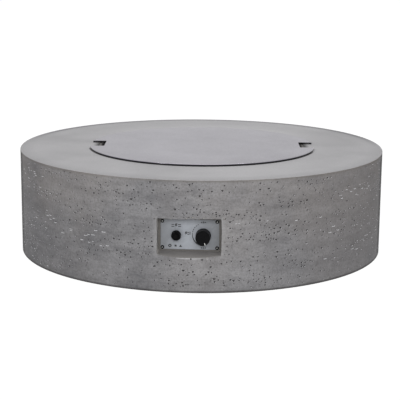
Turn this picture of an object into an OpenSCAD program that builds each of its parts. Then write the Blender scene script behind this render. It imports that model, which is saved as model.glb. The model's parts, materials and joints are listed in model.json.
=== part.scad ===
// Round concrete fire pit table with a drop-in gas burner, a loose lid and a recessed control panel.
// The origin is the centre of the base, +Z is up and the control panel faces -Y.

/* [Concrete drum] */
// Outer radius of the drum
table_r = 535; // [480:5:650]
// Height of the drum
table_h = 300; // [285:5:420]
// Thickness of the side wall
wall_t = 18; // [15:1:26]
// Thickness of the table top
top_t = 24; // [20:1:34]
// Rounding of the top outer edge
edge_r = 2; // [1:0.5:6]

/* [Fire opening] */
// Radius of the opening in the top
opening_r = 300; // [296:1:320]
// Rounding of the opening's edge
opening_round = 8; // [4:1:12]
// Depth of the ledge below the top
ledge_depth = 22; // [18:1:30]
// Thickness of the ledge
ledge_t = 20; // [14:1:30]
// How far the ledge reaches into the opening
ledge_w = 20; // [16:1:30]
// Concrete left outside the opening beside the ledge
collar_w = 24; // [16:1:40]

/* [Control recess] */
// Depth of the panel's face behind the front of the drum
panel_depth = 36; // [28:1:44]
// Height of the panel's centre above the ground
panel_z = 148; // [130:1:165]
// Width of the recess at its floor
recess_w = 165; // [156:1:180]
// Height of the recess at its floor
recess_h = 89; // [82:1:110]
// How much wider and higher the mouth is on each side
recess_draft = 4; // [1:0.5:8]
// Corner radius of the recess
recess_corner_r = 5; // [2:0.5:10]
// Concrete left behind and around the recess
recess_wall = 16; // [12:1:24]
// Width of the hole through the recess floor
aperture_w = 104; // [102:1:112]
// Height of the hole through the recess floor
aperture_h = 44; // [36:1:52]
// Corner radius of that hole
aperture_corner_r = 5; // [2:0.5:10]

/* [Rear hose notch] */
// Width of the notch in the rear of the base
notch_w = 60; // [40:1:90]
// Height of the notch
notch_h = 45; // [40:1:70]

/* [Lid] */
// How far the lid reaches over the table top outside the opening
lid_overlap = 32; // [20:1:50]
// Thickness of the lid's sheet
lid_t = 2; // [1:0.5:3]
// Clearance between the lid's rim and the table top
lid_seat_gap = 0.02; // [0.01:0.01:0.2]
// Share of the lid's sheet that each side of its lower edge is broken back by
lid_edge_share = 0.45; // [0.1:0.05:0.45]
// Height of the lid over the table top
lid_h = 6; // [4:0.5:12]
// Width of each hand notch
lid_notch_w = 92; // [70:1:120]
// How far a hand notch reaches inside the opening's edge
lid_notch_reach = 12; // [4:1:24]
// Corner radius of a hand notch
lid_notch_corner_r = 5; // [2:0.5:12]
// Turn of the two notches about the centre, in degrees
lid_turn = 3; // [0:1:180]
// How far the loose lid lies to the right of the opening's middle
lid_right = 3; // [-8:1:8]
// How far the loose lid lies in front of the opening's middle
lid_front = 13; // [-14:1:14]
// Width of a stiffening channel under the lid
stiffener_w = 30; // [20:1:50]
// Height of a stiffening channel
stiffener_h = 8; // [5:0.5:10]
// Room between the ends of a stiffening channel and the edge of the opening
stiffener_room = 27; // [20:1:60]
// Distance of each channel from the lid's centre line
stiffener_offset = 100; // [60:1:140]
// Sheet thickness of the channels and the locating tabs
lid_part_t = 1.5; // [1:0.1:3]
// Width of a locating tab
locator_w = 40; // [20:1:60]
// Height of a locating tab
locator_h = 16; // [10:0.5:20]
// Play of the tabs in the opening
locator_play = 17; // [12:0.5:24]

/* [Burner pan] */
// Sheet thickness of the pan
pan_t = 2; // [1:0.5:3]
// Play of the pan's flange in the opening
pan_play = 4; // [2:0.5:6]
// Play of the pan's bowl inside the ledge
bowl_play = 8; // [4:0.5:12]
// Depth of the bowl below the ledge
pan_depth = 73; // [60:1:90]
// Radius of a weep hole
weep_r = 4; // [2:0.5:8]
// Distance of the weep holes from the bowl's wall
weep_inset = 47; // [20:1:80]
// Number of weep holes
weep_count = 6; // [3:1:12]

/* [Burner] */
// Radius of the ring's centre line
burner_ring_r = 150; // [120:1:180]
// Outer radius of the ring's tube
burner_tube_r = 9.5; // [8:0.5:13]
// Outer radius of the feed bars
feed_bar_r = 8; // [6:0.5:9]
// Wall of the ring's tube and feed bars
burner_wall_t = 1.5; // [1:0.1:2.5]
// Number of gas ports on the ring
port_count = 24; // [12:2:36]
// Radius of a gas port
port_r = 1.5; // [1:0.1:2.5]
// Outer radius of the hub
hub_r = 15; // [14:0.5:20]
// Height of the hub
hub_h = 26; // [22:1:34]
// Gap between the hub and the nut below it
hub_gap = 4; // [1:0.5:10]
// Outer radius of the threaded nipple
nipple_r = 10.5; // [9:0.5:12]
// Bore radius of the nipple
nipple_bore_r = 6; // [4:0.5:8]
// How far the nipple enters the hub and the mixer
nipple_grip = 12; // [8:0.5:16]
// Length of the nipple below the pan
nipple_drop = 36; // [25:1:50]
// Size across the flats of a pan locknut
locknut_af = 32; // [26:1:40]
// Thickness of a pan locknut
locknut_t = 8; // [5:0.5:12]
// Outer radius of the air mixer
mixer_r = 15; // [13:0.5:20]
// Length of the air mixer
mixer_len = 60; // [45:1:80]
// Bore radius of the air mixer
mixer_bore_r = 9; // [7:0.5:11]
// Floor of the air mixer round the orifice
mixer_floor_t = 6; // [4:0.5:10]
// Width of an air window
window_w = 8; // [5:0.5:10]
// Length of an air window
window_len = 18; // [10:0.5:25]

/* [Ignition bracket] */
// Distance of the bracket's middle inside the ring's centre line
bracket_inset = 30; // [26:1:40]
// Length of the bracket
bracket_len = 64; // [60:1:80]
// Width of the bracket
bracket_w = 22; // [18:0.5:26]
// Sheet thickness of the bracket
bracket_t = 1.5; // [1:0.1:3]
// Height of the bracket's wind tab
bracket_tab_h = 16; // [8:0.5:24]
// Distance of the electrode and the thermocouple from the bracket's middle
probe_offset = 14; // [8:0.5:18]
// Distance of the bracket's screws from its middle
bracket_screw_offset = 26; // [24:0.5:28]
// Radius of the ceramic insulator
insulator_r = 3.5; // [2.5:0.5:5]
// Radius of the electrode's wire
electrode_r = 1.2; // [0.8:0.1:2]
// Gap between the electrode's tip and the burner ring
spark_gap = 4; // [3:0.5:6]
// Radius of the thermocouple
thermocouple_r = 3; // [2:0.5:4]
// How far the probes reach below the pan
probe_drop = 25; // [15:1:40]
// How far the insulator reaches above the bracket
insulator_rise = 16; // [10:0.5:20]

/* [Control panel] */
// Width of the panel
panel_w = 153; // [148:1:155]
// Height of the panel
panel_h = 80; // [74:1:81]
// Thickness of the panel
panel_t = 1.5; // [1:0.1:3]
// Corner radius of the panel
panel_corner_r = 3; // [1:0.5:8]
// Distance of the screws from the panel's edges
screw_inset = 5; // [4.5:0.5:7]
// Head radius of a panel screw
screw_head_r = 4.9; // [3.5:0.05:5]
// Head height of a panel screw
screw_head_h = 2.6; // [2:0.1:3.5]
// Shank radius of a panel screw
screw_r = 2; // [1.5:0.1:2.5]
// Length of a panel screw's shank
screw_len = 12; // [8:0.5:14]
// Outer radius of an anchor in the concrete
anchor_r = 3.6; // [3:0.1:4.5]

/* [Gas valve and knob] */
// How far the axes of the valve and the igniter lie below the panel's middle
control_drop = 2; // [0:0.5:4]
// Distance of the valve from the panel's middle
valve_x = 35.5; // [34:0.5:40]
// Radius of the valve's body
valve_r = 15; // [13:0.5:16]
// Length of the valve's body behind the panel
valve_len = 48; // [46:1:60]
// Radius of the threaded neck
neck_r = 6.5; // [5.5:0.5:8]
// How far the neck stands in front of the panel
neck_out = 4; // [3.5:0.5:6]
// Size across the flats of the neck's nut
neck_nut_af = 17; // [15:0.5:20]
// Thickness of the neck's nut
neck_nut_t = 3; // [2:0.5:3.5]
// Wall in front of the plug
valve_front_t = 11; // [8:0.5:14]
// Radius of the rotating plug
plug_r = 8; // [7:0.5:9]
// Radius of the gas passages
passage_r = 2.5; // [1.5:0.5:3]
// Thread radius of the rear cap
cap_r = 10; // [9:0.5:11]
// Thread length of the rear cap
cap_len = 6; // [4:0.5:9]
// Size across the flats of the rear cap
cap_af = 24; // [20:1:26]
// Head thickness of the rear cap
cap_head_t = 5; // [3:0.5:8]
// Radius of a port boss
boss_r = 9; // [8.5:0.5:11]
// Length of a port boss from the valve's axis
boss_len = 24; // [20:0.5:30]
// Radius of a fitting's thread in the boss
port_thread_r = 6.5; // [5:0.1:7]
// Depth of that thread
port_thread_len = 8; // [6:0.5:9]
// Size across the flats of a fitting
fitting_af = 19; // [17:0.5:24]
// Thickness of a fitting's hexagon
fitting_hex_t = 8; // [5:0.5:10]
// Radius of the 5/8 inch flare thread
flare_r = 7.94; // [6:0.01:9]
// Length of the flare thread
flare_len = 15; // [10:0.5:20]
// Bore radius of the fittings
fitting_bore_r = 3.5; // [2:0.5:4.5]
// Radius of the valve's stem
stem_r = 4; // [3:0.5:5]
// Depth of the flat on the stem
stem_flat = 1.4; // [1:0.1:2]
// How far the stem enters the plug
stem_in = 8; // [6:0.5:10]
// Inward travel of the knob
knob_travel = 3; // [1:0.5:3]
// Radius of the knob at its base
knob_r = 20; // [17:0.5:24]
// Radius of the knob at its face
knob_face_r = 19.5; // [15:0.5:22]
// How far the knob stands out of the panel
knob_out = 34; // [24:0.5:38]
// Gap between the panel and the knob
knob_gap = 4; // [3.5:0.5:6]
// Rounding of the knob's face
knob_round = 1.5; // [0.5:0.5:3]
// Radius of the hollow under the knob
knob_hollow_r = 14; // [12:0.5:15]
// Radius of the knob's inner hub
knob_hub_r = 7; // [6:0.5:8]
// Thickness of the knob's face over the stem
knob_face_t = 8; // [5:0.5:10]
// Turn of the photographed pointer from twelve o'clock, in degrees
pointer_turn = 201; // [0:1:300]
// Width of the pointer mark
pointer_w = 1.8; // [1:0.1:3]
// Length of the pointer mark
pointer_len = 4; // [2:0.5:8]
// Depth of the pointer mark
pointer_t = 0.8; // [0.4:0.1:1.5]

/* [Igniter] */
// Distance of the igniter from the panel's middle
igniter_x = 35.5; // [34:0.5:40]
// Radius of the igniter's threaded housing
housing_r = 11; // [10:0.5:12]
// Length of the housing behind the panel's face
housing_len = 62; // [58:1:80]
// Wall at the housing's rear
housing_end_t = 5; // [3:0.5:8]
// Radius of the flange in front of the panel
bezel_r = 12.8; // [12.5:0.1:15]
// Thickness of that flange
bezel_t = 3; // [2:0.5:5]
// Length of the screw cap
igniter_cap_len = 14; // [11:0.5:20]
// Radius of the screw cap at its face
igniter_cap_face_r = 11.3; // [10:0.1:13]
// Thickness of the screw cap's face
igniter_cap_t = 4; // [2:0.5:5]
// Radius of the push button
button_r = 7.2; // [6:0.1:8]
// How far the button stands out of its cap
button_out = 2.5; // [2.5:0.5:6]
// Travel of the button
button_travel = 2.5; // [1:0.5:3]
// Collar that holds the button in the cap
button_collar_r = 8.6; // [8:0.1:9]
// Thickness of that collar
button_collar_t = 3; // [1.5:0.5:4]
// Radius of the inner end of the button
button_foot_r = 4.9; // [3:0.1:5]
// Radius of the AAA battery
battery_r = 5.25; // [5:0.05:7.5]
// Length of the AAA battery
battery_len = 44.5; // [40:0.5:46]
// Outer radius of the ring nut behind the panel
ring_nut_r = 15; // [13:0.5:16]
// Thickness of the ring nut
ring_nut_t = 6; // [4:0.5:9]
// Width of a spade terminal
spade_w = 6.3; // [4:0.1:7]
// Thickness of a spade terminal
spade_t = 0.8; // [0.5:0.1:1.2]
// Length of a spade terminal
spade_len = 8; // [5:0.5:12]
// Distance of each spade terminal from the housing's axis
spade_offset = 4; // [3:0.5:6]

/* [Lines and leads] */
// Outer radius of the flexible gas line
gas_line_r = 7.5; // [5:0.5:7.5]
// Size across the flats of a flare nut
flare_nut_af = 22; // [20:0.5:26]
// Length of a flare nut
flare_nut_len = 24; // [18:0.5:30]
// How far the gas line enters its nut
line_grip = 10; // [6:0.5:14]
// Radius of the thermocouple's lead
lead_r = 1.25; // [1:0.05:2]
// Size across the flats of the thermocouple's nut
lead_nut_af = 9; // [7:0.5:12]
// Length of the thermocouple's nut
lead_nut_len = 10; // [6:0.5:15]
// Radius of the igniter's wire
wire_r = 1.5; // [1:0.1:2.5]
// Radius of a wire sleeve
sleeve_r = 2.4; // [2:0.1:3.5]
// Length of a wire sleeve
sleeve_len = 14; // [8:0.5:20]

/* [Hidden] */
$fn = 96;
// Radial clearance of parts that fit one another
fit = 0.05;
// Gap between parts that move past one another
play = 0.3;
// Overrun of cuts
over = 1;
// Facets round the corners of hulled shapes
hull_fn = 32;
// Sides of a hexagon
hex_sides = 6;

// Radii and levels of the pan, the lid, the burner and the mixer
ledge_z = table_h - ledge_depth;
flange_r = opening_r - pan_play;
bowl_r = opening_r - ledge_w - bowl_play;
weep_at_r = bowl_r - weep_inset;
lid_r = opening_r + lid_overlap;
lid_edge_break = lid_edge_share * lid_t;
lid_notch_in_r = opening_r - lid_notch_reach;
stiffener_half_chord = sqrt(pow(opening_r, 2) - pow(stiffener_offset + stiffener_w / 2, 2));
stiffener_len = 2 * (stiffener_half_chord - stiffener_room);
pan_floor_z = ledge_z - pan_depth;
pan_top_z = pan_floor_z + pan_t;
hub_z = pan_top_z + locknut_t + hub_gap;
ring_z = hub_z + hub_h / 2;
nipple_z = pan_floor_z - nipple_drop;
mixer_z = nipple_z + nipple_grip - mixer_len;
flare_z = mixer_z - fitting_hex_t - flare_len;

// Places on the ignition bracket
bracket_at_r = burner_ring_r - bracket_inset;
bracket_y = -bracket_at_r;
bracket_z = pan_top_z + bracket_t;
bracket_screw_head_r = 3.5;
bracket_screw_head_h = 2.2;
bracket_screw_r = 1.8;
bracket_screw_len = 9;
insulator_collar_r = 5;
insulator_collar_t = 3;
probe_z = pan_floor_z - probe_drop;
electrode_tail = 6;
electrode_rise = 8;
tip_z = bracket_z + insulator_rise + electrode_rise;
tip_ring_r = burner_ring_r - sqrt(pow(burner_tube_r, 2) - pow(tip_z - ring_z, 2));
electrode_reach = tip_ring_r - spark_gap - bracket_at_r;

// Planes of the control panel, with heights measured out of its face
panel_y = panel_depth - table_r;
recess_floor = -panel_t;
recess_back = recess_floor - recess_wall;
screw_x = panel_w / 2 - screw_inset;
screw_y = panel_h / 2 - screw_inset;
screw_hole_play = 0.4;
screw_hole_r = screw_r + screw_hole_play;
screw_dome_r = 7;
screw_slot_w = 1.1;
screw_slot_len = 5;
screw_slot_t = 1.2;
anchor_len = screw_len;

// Heights along the valve's axis
plug_front = recess_floor - valve_front_t;
plug_back = recess_floor - valve_len + cap_len;
spring_room = 10;
plug_socket_len = stem_in + spring_room;
port_at = plug_front - play - plug_socket_len - 2 * passage_r;
stem_end = plug_front - play - stem_in;
valve_back = recess_floor - valve_len;
knob_hub_z = neck_out + knob_travel + play;
stem_tip = knob_out - knob_face_t;
port_y = panel_y - port_at;
fitting_end = boss_len + fitting_hex_t + flare_len;

// Heights along the igniter's axis
housing_back = -housing_len;
battery_z = housing_back + housing_end_t;
battery_front = battery_z + battery_len;
cap_top = bezel_t + igniter_cap_len;
button_top = cap_top + button_out;
collar_z = cap_top - igniter_cap_t - play - button_collar_t;
button_spring_len = 6;
button_foot_z = battery_front + button_travel + button_spring_len;

// Springs
spring_wire_r = 0.5;
spring_turns = 5;
spring_steps = 12;
spring_sides = 6;

// Leads start and end on the pieces that they join
line_sides = 12;
lead_sides = 8;
line_steps = 5;
lead_steps = 3;
control_z = panel_z - control_drop;
gas_from = [valve_x, port_y, control_z - fitting_end];
gas_to = [0, 0, flare_z];
gas_straight = [0, 0, 25];
gas_bends = [
    [0.035, 0.71], [0.105, 0.49], [0.245, 0.4], [0.44, 0.375], [0.655, 0.38], [0.815, 0.41], [0.925, 0.49],
    [0.985, 0.685]
];
gas_route = route(gas_from, gas_from - gas_straight, gas_bends, gas_to - gas_straight, gas_to);
thermocouple_from = [probe_offset, bracket_y, probe_z];
thermocouple_to = [valve_x, panel_y - valve_back + cap_head_t + lead_nut_len, control_z];
lead_straight = 15;
thermocouple_bends = [[0.05, 0.925], [0.2, 0.865], [0.47, 0.865], [0.735, 0.92], [0.935, 0.98]];
thermocouple_route = route(thermocouple_from, thermocouple_from - [0, 0, lead_straight],
    thermocouple_bends, thermocouple_to + [0, lead_straight, 0], thermocouple_to);
wire_from = [-probe_offset, bracket_y, probe_z - electrode_tail - sleeve_len / 2];
wire_to = [-igniter_x, panel_y + housing_len + spade_len + sleeve_len / 2, control_z + spade_offset];
wire_bends = [[0.105, 0.83], [0.33, 0.8], [0.59, 0.87], [0.8, 0.96]];
wire_route = route(wire_from, wire_from - [0, 0, lead_straight], wire_bends,
    wire_to + [0, lead_straight, 0], wire_to);

// The points of a lead: its two ends, a straight piece at each, and bends between them. A bend is the
// share of the way from one straight piece to the other and its height as a share of the height there
function route(end_a, a, bends, b, end_b) = concat(
    [end_a, a],
    [for (v = bends) let (p = a + v[0] * (b - a)) [p[0], p[1], p[2] * v[1]]],
    [b, end_b]);

// Circumscribed radius of a hexagon from its size across the flats
function hex_r(af) = af / sqrt(3);

// One point of a smooth curve through the points p, in the span that starts at point i
function span_point(p, i, t) =
    let (a = p[max(i - 1, 0)], b = p[i], c = p[i + 1], d = p[min(i + 2, len(p) - 1)])
    (2 * b + t * (c - a) + t * t * (2 * a - 5 * b + 4 * c - d) + t * t * t * (3 * b - a - 3 * c + d)) / 2;

// A smooth curve through the points p whose first and last spans are straight
function curve(p, steps) = concat(
    [p[0]],
    [for (i = [1 : len(p) - 3]) for (k = [0 : steps - 1]) span_point(p, i, k / steps)],
    [p[len(p) - 2], p[len(p) - 1]]);

function unit(v) = v / norm(v);

// Direction of a path at its point i
function along(path, i) = unit(path[min(i + 1, len(path) - 1)] - path[max(i - 1, 0)]);

// One ring of a tube, square to the path, with its first point set by the reference direction
function ring(path, i, r, sides, ref) =
    let (t = along(path, i), u = unit(cross(t, ref)), v = cross(t, u))
    [for (k = [0 : sides - 1]) path[i] + r * (cos(360 * k / sides) * u + sin(360 * k / sides) * v)];

// A round tube that follows a path
module tube(path, r, sides, ref) {
    n = len(path);
    points = [for (i = [0 : n - 1]) each ring(path, i, r, sides, ref)];
    skin = [for (i = [0 : n - 2]) for (k = [0 : sides - 1])
        let (a = i * sides + k, b = i * sides + (k + 1) % sides)
        each [[a, b, b + sides], [a, b + sides, a + sides]]];
    ends = concat(
        [for (k = [1 : sides - 2]) [0, k + 1, k]],
        [for (k = [1 : sides - 2]) [(n - 1) * sides, (n - 1) * sides + k, (n - 1) * sides + k + 1]]);
    polyhedron(points, concat(skin, ends));
}

// A wire spring along Z between two heights
module spring(r, z0, z1) {
    steps = spring_turns * spring_steps;
    rise = z1 - z0 - 2 * spring_wire_r;
    path = [for (i = [0 : steps])
        let (a = 360 * i / spring_steps)
        [r * cos(a), r * sin(a), z0 + spring_wire_r + rise * i / steps]];
    tube(path, spring_wire_r, spring_sides, [0, 0, 1]);
}

// Moves to a place on the panel's face, with Z out of it and Y up
module on_panel(x = 0, y = 0) translate([x, panel_y, panel_z + y]) rotate([90, 0, 0]) children();

// Flat rectangle with round corners, centred
module round_rect(w, h, r) {
    square([w - 2 * r, h], center = true);
    square([w, h - 2 * r], center = true);
    for (x = [-1, 1], y = [-1, 1]) translate([x * (w / 2 - r), y * (h / 2 - r)]) circle(r);
}

// Hexagonal prism with a bore
module hex_nut(af, t, bore_r) difference() {
    cylinder(r = hex_r(af), h = t, $fn = hex_sides);
    translate([0, 0, -over]) cylinder(r = bore_r, h = t + 2 * over);
}

// Pan head screw whose head rests on height zero
module pan_screw(head_r, head_h, shank_r, len) {
    difference() {
        union() {
            intersection() {
                cylinder(r = head_r, h = head_h);
                translate([0, 0, head_h - screw_dome_r]) sphere(screw_dome_r);
            }
            translate([0, 0, -len]) cylinder(r = shank_r, h = len + head_h / 2);
        }
        for (a = [0, 90]) rotate(a)
            translate([-screw_slot_len / 2, -screw_slot_w / 2, head_h - screw_slot_t])
            cube([screw_slot_len, screw_slot_w, screw_slot_t + over]);
    }
}

// Round shaft with one flat side, grown by a clearance
module d_shaft(r, grow, len) difference() {
    cylinder(r = r + grow, h = len);
    translate([r - stem_flat + grow, -2 * r, -over]) cube([2 * r, 4 * r, len + 2 * over]);
}

// Half section of the drum
module drum_section() difference() {
    union() {
        translate([table_r - wall_t, 0]) square([wall_t, table_h]);
        translate([opening_r, table_h - top_t]) square([table_r - opening_r, top_t]);
        translate([opening_r, ledge_z - ledge_t]) square([collar_w, ledge_t + ledge_depth]);
        translate([opening_r - ledge_w, ledge_z - ledge_t]) square([ledge_w + collar_w, ledge_t]);
    }
    translate([table_r - edge_r, table_h - edge_r]) difference() {
        square(edge_r + over);
        circle(edge_r);
    }
    translate([opening_r + opening_round, table_h - opening_round]) difference() {
        translate([-opening_round - over, 0]) square(opening_round + over);
        circle(opening_round);
    }
}

// Cast block that holds the control recess, trimmed to the drum
module recess_block() {
    block_w = recess_w + 2 * recess_wall;
    block_h = recess_h + 2 * recess_wall;
    intersection() {
        on_panel() translate([-block_w / 2, -block_h / 2, recess_back])
            cube([block_w, block_h, panel_depth - recess_back]);
        cylinder(r = table_r - wall_t / 2, h = table_h);
    }
}

// Recess with drafted walls
module recess_cut() {
    mouth_w = recess_w + 2 * recess_draft;
    mouth_h = recess_h + 2 * recess_draft;
    hull() {
        translate([0, 0, recess_floor]) linear_extrude(over)
            round_rect(recess_w, recess_h, recess_corner_r, $fn = hull_fn);
        translate([0, 0, panel_depth]) linear_extrude(over)
            round_rect(mouth_w, mouth_h, recess_corner_r + recess_draft, $fn = hull_fn);
    }
}

module concrete_body() color([0.52, 0.52, 0.51]) difference() {
    union() {
        rotate_extrude() drum_section();
        recess_block();
    }
    on_panel() recess_cut();
    on_panel(0, -control_drop) translate([0, 0, recess_back - over]) linear_extrude(recess_wall + 2 * over)
        round_rect(aperture_w, aperture_h, aperture_corner_r);
    for (x = [-1, 1], y = [-1, 1]) on_panel(x * screw_x, y * screw_y)
        translate([0, 0, recess_floor - anchor_len]) cylinder(r = anchor_r, h = anchor_len + over);
    translate([0, table_r + over, notch_h - notch_w / 2]) rotate([90, 0, 0])
        cylinder(r = notch_w / 2, h = 2 * (wall_t + over));
    translate([-notch_w / 2, table_r - 2 * wall_t, -over])
        cube([notch_w, 2 * wall_t + over, notch_h - notch_w / 2 + over]);
}

module burner_pan() color([0.66, 0.66, 0.68]) difference() {
    rotate_extrude() {
        translate([bowl_r - pan_t, ledge_z]) square([flange_r - bowl_r + pan_t, pan_t]);
        translate([bowl_r - pan_t, pan_floor_z]) square([pan_t, pan_depth + pan_t]);
        translate([0, pan_floor_z]) square([bowl_r, pan_t]);
    }
    translate([0, 0, pan_floor_z - over]) {
        cut_h = pan_t + 2 * over;
        cylinder(r = nipple_r + fit, h = cut_h);
        for (i = [0 : weep_count - 1]) rotate(360 * (i + 0.5) / weep_count)
            translate([weep_at_r, 0, 0]) cylinder(r = weep_r, h = cut_h);
        translate([-probe_offset, bracket_y, 0]) cylinder(r = insulator_r + play, h = cut_h);
        translate([probe_offset, bracket_y, 0]) cylinder(r = thermocouple_r + play, h = cut_h);
        for (x = [-1, 1]) translate([x * bracket_screw_offset, bracket_y, 0])
            cylinder(r = bracket_screw_r + fit, h = cut_h);
    }
}

// Ring, feed bars and hub as one solid shape
module burner_core(tube_r, bar_r, middle_r, middle_h) {
    translate([0, 0, ring_z]) {
        rotate_extrude() translate([burner_ring_r, 0]) circle(tube_r);
        translate([-burner_ring_r, 0, 0]) rotate([0, 90, 0]) cylinder(r = bar_r, h = 2 * burner_ring_r);
        translate([0, 0, -middle_h / 2]) cylinder(r = middle_r, h = middle_h);
    }
}

module burner_ring() color([0.6, 0.6, 0.62]) difference() {
    burner_core(burner_tube_r, feed_bar_r, hub_r, hub_h);
    burner_core(burner_tube_r - burner_wall_t, feed_bar_r - burner_wall_t, nipple_bore_r,
        hub_h - 2 * burner_wall_t);
    translate([0, 0, hub_z - over]) cylinder(r = nipple_r + fit, h = nipple_grip / 2 + over);
    translate([0, 0, hub_z]) cylinder(r = nipple_bore_r, h = hub_h / 2);
    for (i = [0 : port_count - 1]) rotate(360 * (i + 0.5) / port_count)
        translate([burner_ring_r, 0, ring_z]) cylinder(r = port_r, h = burner_tube_r + over);
}

module burner_nipple() color([0.55, 0.55, 0.56]) translate([0, 0, nipple_z]) {
    len = hub_z + nipple_grip / 2 - nipple_z;
    difference() {
        cylinder(r = nipple_r, h = len);
        translate([0, 0, -over]) cylinder(r = nipple_bore_r, h = len + 2 * over);
    }
}

module pan_locknuts() color([0.7, 0.7, 0.68])
    for (z = [pan_top_z, pan_floor_z - locknut_t]) translate([0, 0, z])
        hex_nut(locknut_af, locknut_t, nipple_r + fit);

module air_mixer() color([0.72, 0.6, 0.35]) translate([0, 0, mixer_z]) difference() {
    cylinder(r = mixer_r, h = mixer_len);
    translate([0, 0, mixer_len - nipple_grip]) cylinder(r = nipple_r + fit, h = nipple_grip + over);
    translate([0, 0, mixer_floor_t]) cylinder(r = mixer_bore_r, h = mixer_len);
    translate([0, 0, -over]) cylinder(r = port_thread_r + fit, h = mixer_len / 2);
    for (a = [0, 90]) rotate(a)
        translate([-mixer_r - over, -window_w / 2, mixer_len / 2 - window_len / 2])
        cube([2 * mixer_r + 2 * over, window_w, window_len]);
}

// Brass fitting along Z: thread, hexagon, then the flare thread with its nose
module flare_fitting(thread_len) difference() {
    union() {
        translate([0, 0, -thread_len]) cylinder(r = port_thread_r, h = thread_len + fitting_hex_t / 2);
        cylinder(r = hex_r(fitting_af), h = fitting_hex_t, $fn = hex_sides);
        translate([0, 0, fitting_hex_t / 2]) cylinder(r = flare_r, h = fitting_hex_t / 2 + flare_len);
    }
    translate([0, 0, -thread_len - over])
        cylinder(r = fitting_bore_r, h = thread_len + fitting_hex_t + flare_len + 2 * over);
}

module orifice_fitting() color([0.8, 0.66, 0.35])
    translate([0, 0, mixer_z]) mirror([0, 0, 1]) flare_fitting(mixer_floor_t);

module gas_line() color([0.8, 0.72, 0.3])
    tube(curve(gas_route, line_steps), gas_line_r, line_sides, [1, 0, 0]);

// Nut round a flare thread, with the line's end behind it
module flare_nut() difference() {
    translate([0, 0, -line_grip]) cylinder(r = hex_r(flare_nut_af), h = flare_nut_len, $fn = hex_sides);
    translate([0, 0, -line_grip - over]) cylinder(r = gas_line_r + fit, h = line_grip + 2 * over);
    cylinder(r = flare_r + fit, h = flare_nut_len);
}

module flare_nuts() color([0.78, 0.64, 0.34]) {
    translate(gas_from) flare_nut();
    translate(gas_to) flare_nut();
}

module pilot_bracket() color([0.62, 0.62, 0.64]) translate([0, bracket_y, pan_top_z]) difference() {
    union() {
        translate([-bracket_len / 2, -bracket_w / 2, 0]) cube([bracket_len, bracket_w, bracket_t]);
        translate([-bracket_len / 2, bracket_w / 2 - bracket_t, 0])
            cube([bracket_len, bracket_t, bracket_tab_h]);
    }
    translate([-probe_offset, 0, -over]) cylinder(r = insulator_r + fit, h = bracket_t + 2 * over);
    translate([probe_offset, 0, -over]) cylinder(r = thermocouple_r + fit, h = bracket_t + 2 * over);
    for (x = [-1, 1]) translate([x * bracket_screw_offset, 0, -over])
        cylinder(r = bracket_screw_r + fit, h = bracket_t + 2 * over);
}

module bracket_screws() color([0.7, 0.7, 0.7])
    for (x = [-1, 1]) translate([x * bracket_screw_offset, bracket_y, bracket_z])
        pan_screw(bracket_screw_head_r, bracket_screw_head_h, bracket_screw_r, bracket_screw_len);

module spark_insulator() color([0.93, 0.92, 0.88]) translate([-probe_offset, bracket_y, 0])
    difference() {
        union() {
            translate([0, 0, probe_z]) cylinder(r = insulator_r, h = bracket_z + insulator_rise - probe_z);
            translate([0, 0, bracket_z]) cylinder(r = insulator_collar_r, h = insulator_collar_t);
        }
        translate([0, 0, probe_z - over])
            cylinder(r = electrode_r + fit, h = bracket_z + insulator_rise - probe_z + 2 * over);
    }

module spark_electrode() color([0.5, 0.5, 0.52]) translate([-probe_offset, bracket_y, 0]) {
    translate([0, 0, probe_z - electrode_tail])
        cylinder(r = electrode_r, h = tip_z - probe_z + electrode_tail);
    translate([0, 0, tip_z]) sphere(electrode_r);
    translate([0, 0, tip_z]) rotate([90, 0, 0]) cylinder(r = electrode_r, h = electrode_reach);
}

module thermocouple() color([0.6, 0.58, 0.55]) translate([probe_offset, bracket_y, 0]) {
    translate([0, 0, probe_z]) cylinder(r = thermocouple_r, h = tip_z - probe_z);
    translate([0, 0, tip_z]) sphere(thermocouple_r);
    translate([0, 0, bracket_z]) cylinder(r = insulator_collar_r, h = insulator_collar_t);
}

module thermocouple_lead() color([0.75, 0.45, 0.25])
    tube(curve(thermocouple_route, lead_steps), lead_r, lead_sides, [1, 0, 0]);

module thermocouple_nut() color([0.8, 0.66, 0.35])
    on_panel(valve_x, -control_drop) translate([0, 0, valve_back - cap_head_t - lead_nut_len])
        hex_nut(lead_nut_af, lead_nut_len, lead_r + fit);

module control_panel() color([0.7, 0.71, 0.74]) on_panel() difference() {
    translate([0, 0, recess_floor]) linear_extrude(panel_t) round_rect(panel_w, panel_h, panel_corner_r);
    translate([0, 0, recess_floor - over]) {
        cut_h = panel_t + 2 * over;
        translate([valve_x, -control_drop, 0]) cylinder(r = neck_r + play, h = cut_h);
        translate([-igniter_x, -control_drop, 0]) cylinder(r = housing_r + play, h = cut_h);
        for (x = [-1, 1], y = [-1, 1]) translate([x * screw_x, y * screw_y, 0])
            cylinder(r = screw_hole_r, h = cut_h);
    }
}

module panel_screws() color([0.62, 0.6, 0.52])
    for (x = [-1, 1], y = [-1, 1]) on_panel(x * screw_x, y * screw_y)
        pan_screw(screw_head_r, screw_head_h, screw_r, screw_len);

module panel_anchors() color([0.8, 0.66, 0.35])
    for (x = [-1, 1], y = [-1, 1]) on_panel(x * screw_x, y * screw_y)
        translate([0, 0, recess_floor - anchor_len]) difference() {
            cylinder(r = anchor_r - fit, h = anchor_len);
            translate([0, 0, -over]) cylinder(r = screw_r + fit, h = anchor_len + 2 * over);
        }

// Turns a fitting or a port so that it leaves the valve to the right
module to_right() translate([0, 0, port_at]) rotate([0, 90, 0]) children();

// Turns a fitting or a port so that it leaves the valve downwards
module to_below() translate([0, 0, port_at]) rotate([90, 0, 0]) children();

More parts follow.
